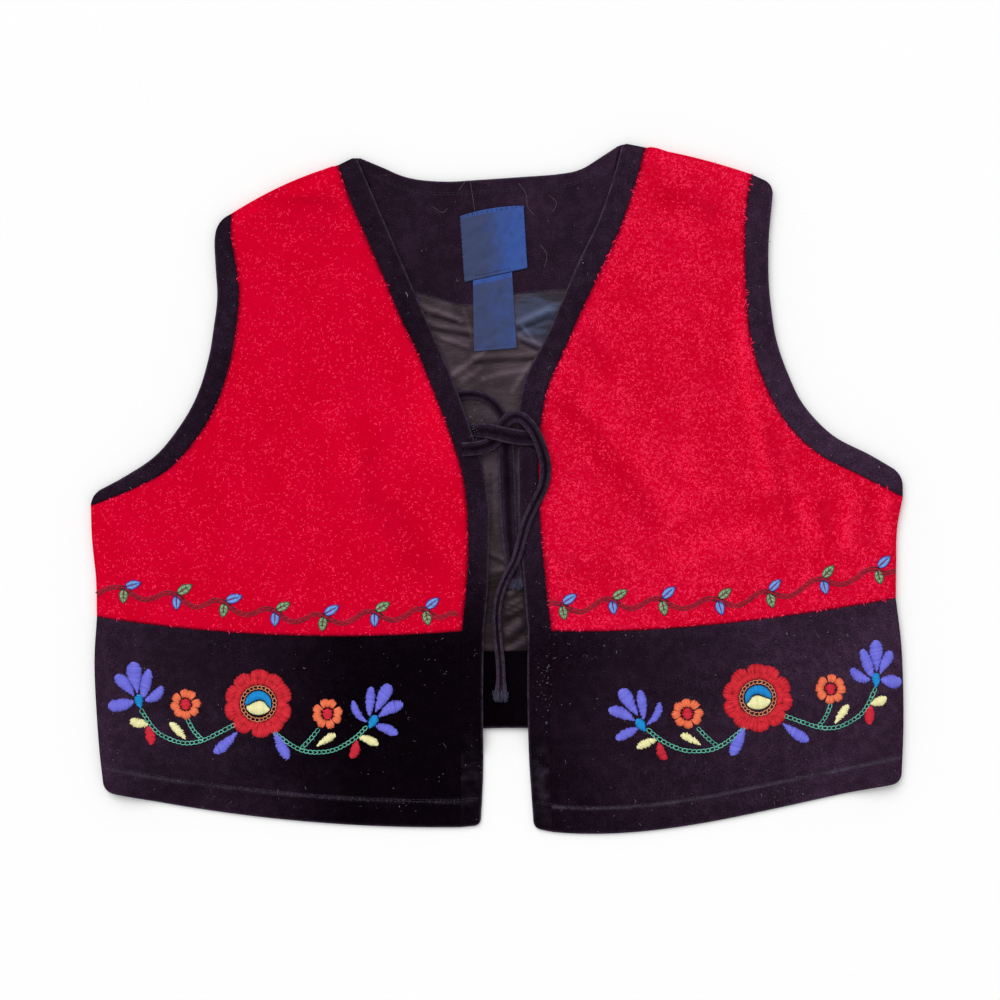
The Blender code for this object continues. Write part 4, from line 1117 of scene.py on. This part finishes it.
for side, rows in SIDES.items():
    rng = np.random.default_rng({"right": 31, "left": 32}[side])
    stitches = {name: [] for name in WOOLS}
    for petal in PETALS:
        stitches[petal.wool].append(satin_petal(petal, rng))
    for name, found in rounds_of_petals(rng).items():
        stitches[name] += found
    for name, found in stitches.items():
        if found:
            ends = turned(np.concatenate(found), SPRAYS[side])
            satin_stitches(f"{side}_{name}_stitches", name, ends, rows, THREAD_HALF, STITCH_RISE, rng)
    ring = ray(np.linspace(0, 2 * math.pi, 49), RING_RADIUS)
    ring_pitch = 2 * math.pi * RING_RADIUS / RING_LINKS
    chains = {"green": np.concatenate([chained(stem, *STEM_LINK, rng) for stem in STEMS]),
              "peach": chained(ring, ring_pitch, *RING_LINK, rng)}
    for name, links in chains.items():
        links = turned(links, SPRAYS[side])
        shade = np.clip(0.6 + rng.normal(0, 0.12, (len(links), 1)), 0, 1)
        threads(f"{side}_{name}_chain", name, raised(links, top_of(rows, links) + LINK_RISE),
                CHAIN_HALF[name] * LINK_TAPER, shade)

# ---------------------------------------------------------------- the vine above the waist
# A wavy stem of two fine dark threads along each red front, with a pair of leaves at every joint.
# Each leaf is two slanting rows of satin stitch, outlined and veined in back stitch.
Vine = namedtuple("Vine", "start turns joints end")  # each joint's leaves are turned by its degrees
VINES = {
    "right": Vine((-250.2, -66.6), (0, 8, 0, 4, 6, 10, 16), (
        (-232.5, -62.5), (-199.7, -66.8), (-169.7, -71.4), (-138.1, -76.9), (-107.9, -79.8), (-76.1, -77.5),
        (-44.3, -76)), (-24.2, -79)),
    "left": Vine((31.4, -71.9), (15, 13, 19, 20, 23, 23, 26), (
        (40.9, -73), (72.1, -69.7), (103.2, -69.7), (138.3, -69.7), (170.1, -65), (203.6, -56.9),
        (237.8, -50.6)), (249.4, -52.6)),
}
VINE_DIP = ((0, 0), (0.16, -3.2), (0.38, -5.6), (0.60, -3.2), (0.80, 0.5))  # share of the way, and drop
LOW_ARCH = np.array([-1.4, 0.7, 1, 0.7, -1.4])  # how a stitch that lies flat rises along its length
VINE_RISE, VINE_KNOT, KNOT_WIDTH = 2.2, (1.2, -1), 3.5
VINE_APART, VINE_HALF, VINE_STITCH, VINE_CORE = 1.10, 0.50, 3.6, 0.86
LEAF_UP, LEAF_DOWN = ((0.8, 0.9), (10.6, 4.2)), ((-0.2, -0.7), (-1.4, -9.6))
LEAF_WIDTH, LEAF_HALF, LEAF_RISE, LEAF_PITCH, LEAF_VEINS = 5.2, 0.26, 0.2, 0.5, (0.28, 0.55)
# A leaf's outlines and veins: how thick, how long a stitch is, and how far it stands proud.
OUTLINE, VEIN = (0.22, 2.4, 0.50), (0.15, 3, 0.85)
LEAF_EDGES = {"leaf_blue": "leaf_navy", "leaf_green": "leaf_pine"}
VINE_WOOLS = {
    "vine": ((0.018, 0.016, 0.032), (0.430, 0.024, 0.050)),
    "vine_core": ((0.26, 0.010, 0.028), (0.50, 0.012, 0.036)),
    "leaf_blue": ((0.085, 0.23, 0.66), (0.25, 0.49, 0.87)),
    "leaf_navy": ((0.012, 0.014, 0.14), (0.045, 0.045, 0.42)),
    "leaf_green": ((0.15, 0.30, 0.16), (0.38, 0.56, 0.34)),
    "leaf_pine": ((0.008, 0.045, 0.022), (0.030, 0.130, 0.070)),
}


def sewn_line(points, rows, stitch, rise, half_way=0, gap=0, top=None):
    """Stations of the stitches that follow one another along a line, with a gap between them."""
    count = max(1, round(measured(by_length(points, np.linspace(0, 1, 400)))[-1] / (stitch + gap)))
    cover = stitch / (stitch + gap)
    share = (np.arange(count)[:, None] + 0.5 + (STATIONS - 0.5) * cover + half_way) / count
    flat = by_length(points, np.clip(share, 0, 1))
    return raised(flat, (top_of(rows, flat) if top is None else top) + rise * LOW_ARCH)


def leaf_reach(share, half):
    """How wide a leaf is at shares of its length."""
    return half * np.sin(math.pi * share**0.86) ** 0.75


def leaf(base, tip, width, rng):
    """A leaf's two slanting rows of stitches, its outline and its veins."""
    run = tip - base
    length = np.linalg.norm(run)
    left = left_of(run) / length
    count = round(length / LEAF_PITCH)
    share = (np.arange(count) + 0.6) / count
    line = np.linspace(0, 1, 15)
    halves, rim = [], []
    for turn in (-1, 1):
        edge = np.clip(share + 0.16, 0, 0.99)
        reach = leaf_reach(edge, width / 2) + rng.normal(0, 0.07, count)
        inner = base + run * (share * 0.94)[:, None] + left * turn * 0.22
        outer = base + run * edge[:, None] + left * turn * np.maximum(reach, 0.3)[:, None]
        halves.append(np.stack([inner, outer], axis=1))
        rim.append(base + run * line[:, None] + left * turn * leaf_reach(line, width / 2 + 0.32)[:, None])
    veins = [np.array([base, base + run * 0.55, base + run * 1.08])]
    for share in LEAF_VEINS:
        reach = width * 0.42 * math.sin(math.pi * (share + 0.1)) ** 0.75
        veins += [np.array([base + run * share, base + run * (share + 0.14) + left * turn * reach])
                  for turn in (-1, 1)]
    return np.concatenate(halves), np.vstack([rim[0], rim[1][-2::-1]]), veins


def back_stitch(name, wool, paths, half, rng, ends_dark=0.1):
    """Stitches sewn along lines, as one piece."""
    paths = np.concatenate(paths)
    threads(name, wool, paths, half * TAPER, stitch_shades(len(paths), rng, ends_dark))


THREADS |= {name: wool_thread(f"{name}_wool", *tones) for name, tones in VINE_WOOLS.items()}

for side, rows in SIDES.items():
    rng = np.random.default_rng({"right": 41, "left": 42}[side])
    vine = VINES[side]
    start, joints = np.array(vine.start), np.array(vine.joints)
    rise = VINE_RISE * min(1, (joints[0, 0] - start[0]) / 18) ** 2
    line = [start, (start + joints[0]) / 2 + [0, rise]]
    for joint, onward in zip(joints, (*joints[1:], vine.end)):
        reach = onward - joint
        scale = min(1, abs(reach[0]) / 30)
        line += [joint + reach * share + [0, dip * scale] for share, dip in VINE_DIP]
    fine = by_length([*line, vine.end], np.linspace(0, 1, 300))
    across = left_of(unit(np.gradient(fine, axis=0))) * VINE_APART
    paths = np.concatenate([sewn_line(fine + across * turn, rows, VINE_STITCH, 0.16) for turn in (-1, 1)])
    knots = paths[:, 2, None, :2] - joints - VINE_KNOT
    nearest = np.linalg.norm(knots, axis=2).min(axis=1)
    shade = np.clip(0.75 + rng.normal(0, 0.15, len(paths)) - 0.9 * bell(nearest, KNOT_WIDTH), 0, 1)
    threads(f"{side}_vine_stem", "vine", paths, VINE_HALF * TAPER, shade[:, None])
    core = [sewn_line(fine, rows, VINE_STITCH, 0.04, 0.5)]
    back_stitch(f"{side}_vine_core", "vine_core", core, VINE_CORE, rng)
    found = {name: [] for name in VINE_WOOLS}
    outlines, veins = ({edge: [] for edge in LEAF_EDGES.values()} for _ in range(2))
    for number, joint in enumerate(joints):
        pair = ("leaf_blue", "leaf_green") if number % 2 == 0 else ("leaf_green", "leaf_blue")
        for wool, ends in zip(pair, (LEAF_UP, LEAF_DOWN)):
            size, a = rng.uniform(0.92, 1.04), math.radians(vine.turns[number]) + rng.normal(0, 0.06)
            spin = np.array([[math.cos(a), math.sin(a)], [-math.sin(a), math.cos(a)]]) * size
            halves, rim, ribs = leaf(*(np.array(ends) @ spin + joint), LEAF_WIDTH * size, rng)
            found[wool].append(halves)
            outlines[LEAF_EDGES[wool]].append(sewn_line(rim, rows, *OUTLINE[1:]))
            ribs = ribs[:1] if wool == "leaf_blue" else ribs  # a blue leaf has only its middle vein
            veins[LEAF_EDGES[wool]] += [sewn_line(rib, rows, *VEIN[1:]) for rib in ribs]
    for wool, halves in found.items():
        if halves:
            ends = np.concatenate(halves)
            satin_stitches(f"{side}_{wool}_stitches", wool, ends, rows, LEAF_HALF, LEAF_RISE, rng, 0.2)
    for kind, half, lines in (("outlines", OUTLINE[0], outlines), ("veins", VEIN[0], veins)):
        for wool, paths in lines.items():
            back_stitch(f"{side}_{wool}_{kind}", wool, paths, half, rng)

# ---------------------------------------------------------------- the machine stitching
# Fine lockstitch in plum-grey thread: a double row that holds each hem up, and another pair below the
# back neck that holds the facing down. Navy stitches tack down the wide label.
ROWS_APART, HEM_STITCH_IN, NECK_STITCH_DOWN = 1.3, 1.2, 7
LOCK_STITCH, LOCK_GAP, LOCK_RISE, LOCK_HALF = 2.4, 0.4, 0.07, 0.12
TACK_APART, TACK_REACH, TACK_RISE, TACK_HALF = 3.1, 1.5, 0.16, 0.13
FLAP_LINE = ((-13.5, 132.6), (-4, 134.6), (8.5, 137.4))
FLAP_STITCH, FLAP_GAP, FLAP_RISE = 1.3, 0.8, 0.1
THREADS["lock"] = wool_thread("plum_grey_thread", (0.012, 0.008, 0.017), (0.060, 0.048, 0.082))
THREADS["tack"] = wool_thread("navy_thread", (0.003, 0.003, 0.012), (0.010, 0.012, 0.040))


def lockstitch(name, line, apart, rows, rng, top=None):
    """A double row of machine stitching, along a line and that far above it."""
    paths = [sewn_line(line + [0, up], rows, LOCK_STITCH, LOCK_RISE, 0, LOCK_GAP, top) for up in (0, apart)]
    back_stitch(name, "lock", paths, LOCK_HALF, rng, 0.15)


def above_hem(rows, first):
    """The line of a front's hem stitching, from a share of its width to the front band's seam."""
    return panel(rows, np.array([float(HEM)]), np.linspace(first, 0.985, 24))[0] + [0, HEM_STITCH_UP]


def tacks(points, top, rng):
    """Small stitches across a line."""
    count = round(measured(by_length(points, np.linspace(0, 1, 200)))[-1] / TACK_APART)
    share = (np.arange(count) + 0.5 + rng.normal(0, 0.08, count)) / count
    place = by_length(points, share)
    across = left_of(unit(by_length(points, share + 0.01) - place)) + rng.normal(0, 0.15, (count, 2))
    flat = place[:, None] + across[:, None] * (STATIONS - 0.5)[:, None] * TACK_REACH
    return raised(flat, top + TACK_RISE * LOW_ARCH)


rng = np.random.default_rng(51)
for side, rows in SIDES.items():
    edge = np.array(rows[HEM].edge)
    edge += [math.copysign(HEM_STITCH_IN, rows[HEM].seam[0] - edge[0]), HEM_STITCH_UP]
    line = np.vstack([above_hem(rows, 0.012), edge])
    lockstitch(f"{side}_hem_stitching", line, ROWS_APART, rows, rng)
neck = along(NECK_EDGE, np.linspace(0.9, len(NECK_EDGE) - 1.9, 40)) - [0, NECK_STITCH_DOWN]
lockstitch("neck_stitching", neck, -ROWS_APART, RIGHT, rng, INNER_LEVEL + INNER_THICK)

label_top = LABEL_LEVEL + LABEL_THICK
top_left, top_right, low_right, low_left = LABELS[0].corners
sewn_edges = (top_left, top_right), (top_left, low_left), (top_right, low_right)
paths = [tacks(ends, label_top, rng) for ends in sewn_edges]
paths.append(sewn_line(FLAP_LINE, RIGHT, FLAP_STITCH, FLAP_RISE, 0, FLAP_GAP, label_top + FLAP_RISE))
back_stitch("label_tacks", "tack", paths, TACK_HALF, rng)

# ---------------------------------------------------------------- loose fibre
# Curls of wool stand off the felt's face, and pale lint and a few hairs cling to the velveteen nap.
# On each red front: how many curls, their lengths from and to, half their thickness, and how light and
# how evenly spread they are.
Curls = namedtuple("Curls", "count short long half shade even")
CURLS = {"right": Curls(5400, 1, 2.9, 0.285, 0.66, 2.4), "left": Curls(9300, 1.2, 3, 0.315, 0.74, 1.9)}
CURL_LIFT, CURL_TAPER, CURL_FLAT = np.array([-0.12, 0.10, 0.10, -0.12]), np.array([0.5, 1, 1, 0.5]), 0.35
LINT, HEM_LINT, SEAM_CLEAR, NARROW_SHARE = 640, 220, 3, 9000
LINT_LIFT, LINT_TAPER = np.array([0.02, 0.14, 0.2, 0.14, 0.02]), np.array([0.6, 1, 1, 1, 0.6])
HEM_LINT_LIFT, LINT_SHADES = np.array([0, 0.08, 0.1, 0.08, 0]), (0.28, 0.07, 0.22)
# The lint's lengths, and how common each is: everywhere, and where it has gathered.
LINT_LENGTHS = (0.4, 0.7, 1.1, 2.2, 3.6), (0.38, 0.28, 0.2, 0.11, 0.03)
GATHERED_LENGTHS = (0.4, 0.8, 1.4, 2.4), (0.4, 0.3, 0.2, 0.1)
# Where more has gathered: the front, the middle, how far it spreads, and how much of it.
GATHERED = (
    (LEFT, (31, -118), (3, 16), 70), (LEFT, (30, -58), (4, 8), 16), (RIGHT, (-13.5, 38), (2.5, 5), 34),
    (RIGHT, (-19, -51), (4, 3), 16), (LEFT, (186, -192), (8, 3.5), 24), (LEFT, (214, -93), (9, 5), 24),
    (LEFT, (72, -96), (14, 4), 26), (LEFT, (186, -178), (2, 2), 6),
)
# A few long hairs lie across the neck facing.
HAIRS = (
    ((-24, 186), (-17.5, 193), (-15, 183), (-13.5, 172)),
    ((14, 190.5), (18.5, 184), (19.5, 176), (24, 170.5)),
    ((33, 183), (37.5, 178.5), (35, 172.5)), ((-40, 176), (-34, 172.5), (-30.5, 175)),
    ((27.5, 152), (31.5, 146), (30, 138)),
)
HAIR_HALF, HAIR_SHADE, HAIR_LIFT = 0.09, 0.25, 0.15
THREADS["curl"] = wool_thread("red_wool_fibre", (0.92, 0.003, 0.036), (1, 0.036, 0.118), 1, 0)
THREADS["lint"] = wool_thread("pale_lint", (0.045, 0.040, 0.050), (0.60, 0.58, 0.62))


def scattered(plan, high, count, rng):
    """Places and heights spread evenly over a laid piece's face, from its grid of places and heights."""
    area = abs(cells(plan)).ravel()
    i, j = np.unravel_index(rng.choice(area.size, count, p=area / area.sum()), cells(plan).shape)
    u, v = rng.uniform(0, 1, (2, count, 1))
    solid = raised(plan, high)
    start, end = ((1 - u) * solid[i + k, j] + u * solid[i + k, j + 1] for k in (0, 1))
    return (1 - v) * start + v * end


def curled(starts, lengths, bend, wiggle, stations, rng):
    """The plan of short curls of fibre from their starts: each turns one way and wavers."""
    count = len(starts)
    heading = rng.uniform(0, 2 * math.pi, (count, 1)) + np.cumsum(
        rng.normal(0, bend, (count, 1)) + rng.normal(0, wiggle, (count, stations - 1)), axis=1)
    steps = ray(heading, lengths[:, None] / (stations - 1))
    return starts[:, None, :2] + np.concatenate([np.zeros((count, 1, 2)), np.cumsum(steps, axis=1)], axis=1)


for side, rows in SIDES.items():
    rng = np.random.default_rng({"right": 61, "left": 62}[side])
    inside = slice(SEAM_CLEAR, -SEAM_CLEAR)
    plan, high = (grid[inside, inside] for grid in LAID[f"{side}_red_front"])
    curls = CURLS[side]
    starts = scattered(plan, high, 3 * curls.count, rng)
    # Curls gather in random waves, and more of the bright curls lie on the felt's fold ridges as painted
    # light.
    gathered_and_ridge_lit = waves(starts[:, :2], 24, 7) + 0.8 * folded_up(starts[:, :2], FOLDS)
    starts = starts[gathered_and_ridge_lit + curls.even * rng.uniform(-1, 1, len(starts)) > 0.1][:curls.count]
    count = len(starts)
    flat = curled(starts, rng.uniform(curls.short, curls.long, count), 0.6, 0.7, 4, rng)
    height = top_of(rows, flat) + CURL_LIFT + rng.uniform(-0.08, 0.06, (count, 1))
    shade = np.clip(curls.shade + rng.normal(0, 0.30, (count, 1)), 0, 1)
    half = curls.half * rng.uniform(0.7, 1.25, (count, 1)) * CURL_TAPER
    piece = threads(f"{side}_wool_curls", "curl", raised(flat, height), half, shade, 3, CURL_FLAT)

rng = np.random.default_rng(71)
on_fronts = [name for name in LAID if name.startswith(tuple(SIDES)) and "red" not in name]
hosts = ["neck_facing", *on_fronts]
spans = {name: np.prod(np.ptp(LAID[name][0].reshape(-1, 2), axis=0)) for name in hosts}
weights = np.array([spans[name] if "lower" in name else NARROW_SHARE for name in hosts])
pieces = []
for name, count in zip(hosts, rng.multinomial(LINT, weights / weights.sum())):
    starts = scattered(*LAID[name], count, rng)
    lengths, common = LINT_LENGTHS
    flat = curled(starts, rng.choice(lengths, count, p=common), 0.5, 0.5, 5, rng)
    pieces.append(raised(flat, starts[:, 2:] + LINT_LIFT))
for rows in SIDES.values():
    share = np.clip(rng.uniform(0, 1, HEM_LINT) + 0.03 * rng.normal(0, 1, HEM_LINT), 0, 1)
    starts = by_length(above_hem(rows, 0.03), share) + rng.normal(0, 0.40, (HEM_LINT, 2))
    flat = curled(starts, rng.uniform(0.4, 1.1, HEM_LINT), 0.4, 0.5, 5, rng)
    pieces.append(raised(flat, top_of(rows, flat) + HEM_LINT_LIFT))
for rows, middle, spread, count in GATHERED:
    starts = rng.normal(middle, spread, (count, 2))
    lengths, common = GATHERED_LENGTHS
    flat = curled(starts, rng.choice(lengths, count, p=common), 0.5, 0.5, 5, rng)
    pieces.append(raised(flat, top_of(rows, flat) + LINT_LIFT))
paths = np.concatenate(pieces)
half = rng.uniform(0.06, 0.16, (len(paths), 1)) * LINT_TAPER
counts = LINT, HEM_LINT * len(SIDES), sum(count for *_, count in GATHERED)
shade = np.clip(rng.exponential(np.repeat(LINT_SHADES, counts)[:, None]), 0.02, 1)
threads("lint", "lint", paths, half, shade, 3)

on_facing = INNER_LEVEL + INNER_THICK + HAIR_LIFT
paths = np.stack([raised(by_length(hair, np.linspace(0, 1, 14)), on_facing) for hair in HAIRS])
threads("hairs", "lint", paths, HAIR_HALF, HAIR_SHADE, 3)

# ---------------------------------------------------------------- the ties
# Two flat rolled velveteen straps, one from each front band's seam, in a half bow. Each is a tube
# turned right side out and pressed flat, so that a groove runs down the middle between two rolls.
TIE_WIDTH, TIE_STEP, TIE_THICK, TIE_SIDES, TIE_NAP, END_WORN = 6.5, 1.6, 2.4, 28, 0.017, 6
# Across a tie, by share of its half width: its groove, its two crests and its two rims.
GROOVE_DEPTH, GROOVE_WIDTH, CREST, CREST_WIDTH, RIM, RIM_WIDTH = 0.65, 0.24, 0.52, 0.14, 0.88, 0.10
ROLLED_AT = (0, 0.35, 0.6, 1)
# Each tie's rolls at ROLLED_AT shares of its length, its width by share, and its route over the vest.
Tie = namedtuple("Tie", "name node seed rolled width route")
TIES = listed(Tie, (
    ("right_tie_strap", "right_tie", 81, (0.2, 0.6, 1, 1), (
        (0, 9), (0.15, 7.8), (0.29, 7), (0.43, 6.6), (0.57, 6.2), (0.68, 5.5), (0.83, 5.7), (0.94, 5.8),
        (1, 9),
    ), (
        (-21.5, 24, 9.9), (-14, 24.6, 10), (-7.5, 26, 9), (-1.5, 29, 7.8), (2, 34.5, 7.8), (5, 40.5, 8.1),
        (10.5, 44.5, 9.6), (17, 42.8, 11.4), (23, 36, 12), (27.4, 26.5, 11.2), (30.6, 14, 8.9),
        (29.2, 1.5, 8.6), (23.2, -11, 8.5), (18.4, -22, 8.5), (14.9, -35, 8.6), (11.6, -45.5, 8.6),
        (5.6, -57, 8.2), (1.4, -69, 6.6), (0.2, -81.6, 5.2), (0.9, -94, 5), (2.4, -109, 5), (2.8, -122, 5),
        (2.6, -132.5, 5),
    )),
    ("left_tie_strap", "left_tie", 82, (0.1, 0.3, 0.2, 0.3), (
        (0, 9.6), (0.14, 9.6), (0.29, 7), (0.43, 5.6), (0.55, 6.4), (0.62, 10.6), (0.72, 11), (0.86, 10.2),
        (1, 9),
    ), (
        (27.5, 31.4, 8.5), (20.5, 31.2, 8.5), (14, 31.6, 9.3), (7.5, 32.6, 10.9), (1.5, 34, 11.3),
        (-4.5, 35.4, 10.2), (-9, 35.9, 7.2), (-14, 35.9, 4.9), (-21.5, 36.2, 4.9), (-28.6, 39.6, 4.9),
        (-32.4, 46.4, 4.9), (-30, 53.8, 4.9), (-22.8, 57.8, 4.9), (-13.6, 58.2, 4.9), (-5.4, 55.4, 4.9),
        (0.8, 49.6, 4.9), (4.6, 42, 4.9), (6.2, 33, 4.9), (6, 22, 4.9), (6.8, 1, 4.9), (7.6, -21, 4.9),
        (9.4, -41, 4.9), (11.2, -54, 4.9), (11.6, -62.5, 4.9),
    )),
))
FRAYED, FUZZ = 150, 260  # loose threads at each cut end, and wisps of nap along each tie
FRAY_HALF, FUZZ_HALF, FUZZ_RIM, FUZZ_LIFT = 0.17, 0.10, 0.90, np.array([0, 0.12, 0.12, 0])
THREADS["fray"] = wool_thread("blue_grey_thread", (0.014, 0.014, 0.028), (0.115, 0.112, 0.190))

for tie in TIES:
    length = measured(by_length(tie.route, np.linspace(0, 1, 400)))[-1]
    last = round(length / TIE_STEP)
    share = np.linspace(0, 1, last + 1)
    path = by_length(tie.route, share)
    aside, face = faces_along(path)
    width, rolled = np.interp(share, *np.transpose(tie.width)), np.interp(share, ROLLED_AT, tie.rolled)
    bm = tube(TIE_SIDES, last + 1)
    x, y, z = np.transpose([vert.co for vert in bm.verts])
    k, angle = np.rint((z + 0.5) * last).astype(int), np.arctan2(y, x)
    across = np.copysign(abs(np.cos(angle)) ** 0.8, np.cos(angle))
    groove = 1 - GROOVE_DEPTH * bell(across, GROOVE_WIDTH) * rolled[k]
    end = np.where((k > 0) & (k < last), 1, 0.55)
    swell = np.sin(angle) * groove * TIE_THICK / 2 * end
    reach = across * width[k] / 2 * (0.9 + 0.1 * end)
    for vert, place in zip(bm.verts, path[k] - aside[k] * reach[:, None] + face[k] * swell[:, None]):
        vert.co = place * MM
    # Painted highlights along the tie's two crests and two rims, and wear at its cut end.
    crest, rim = bell(abs(across) - CREST, CREST_WIDTH) * rolled[k], bell(abs(across) - RIM, RIM_WIDTH)
    worn = 0.9 * rim + 0.9 * crest + 0.6 * bell((last - k) * TIE_STEP, END_WORN)
    # Painted shade: its nap is darker down the middle groove and lighter towards the rims.
    nap = TIE_NAP * (0.45 + 0.75 * abs(across))
    strap = new_piece(tie.name, bm, VELVET[0], {"worn": np.minimum(worn, 1), "nap": nap})
    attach(strap, "root")
    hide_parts(tie.node)
    rng = np.random.default_rng(tie.seed)
    at = rng.uniform(0.12, 0.97, FUZZ)
    on_crest = rng.uniform(0, 1, FUZZ) < np.interp(at, share, rolled)
    out = np.where(on_crest, CREST, FUZZ_RIM) * rng.choice([-1, 1], FUZZ) + rng.normal(0, 0.05, FUZZ)
    near = np.rint(at * last).astype(int)
    starts = path[near] - aside[near] * (out * width[near] / 2)[:, None]
    flat = curled(starts, rng.uniform(0.4, 1.3, FUZZ), 0.4, 0.4, 4, rng)
    lie = path[near, 2] + TIE_THICK / 2 * np.sqrt(np.clip(1 - abs(out) ** 2.5, 0, 1)) * 0.9
    fuzz = raised(flat, lie[:, None] + FUZZ_LIFT)
    threads(f"{tie.node}_fuzz", "fray", fuzz, FUZZ_HALF, rng.exponential(0.35, (FUZZ, 1)), 3)
    across = rng.uniform(-0.92, 0.92, (FRAYED, 1))
    swell = np.sqrt(1 - abs(across) ** 2.5) * TIE_THICK / 2
    reach = np.linspace(0, 1, 4) * rng.uniform(1.5, 4.5, (FRAYED, 1)) - rng.uniform(0, 6, (FRAYED, 1))
    reach = np.minimum(reach, rng.uniform(0.2, 1.8, (FRAYED, 1)) - 1.4 * abs(across) ** 4)
    out = across * width[-1] / 2 * 1.10 + np.cumsum(rng.normal(0, 0.22, (FRAYED, 4)), axis=1)
    strands = path[-1] + unit(path[-1] - path[-4]) * reach[..., None] - aside[-1] * out[..., None]
    swell = swell * rng.uniform(0.7, 1, (FRAYED, 1)) * np.where(reach > 0, 0.5, 1)
    strands[..., 2] = path[-1, 2] + swell + 0.08
    shade = np.clip(0.35 + rng.normal(0, 0.30, (FRAYED, 1)), 0, 1)
    threads(f"{tie.node}_frayed_end", "fray", strands, FRAY_HALF, shade, 3)
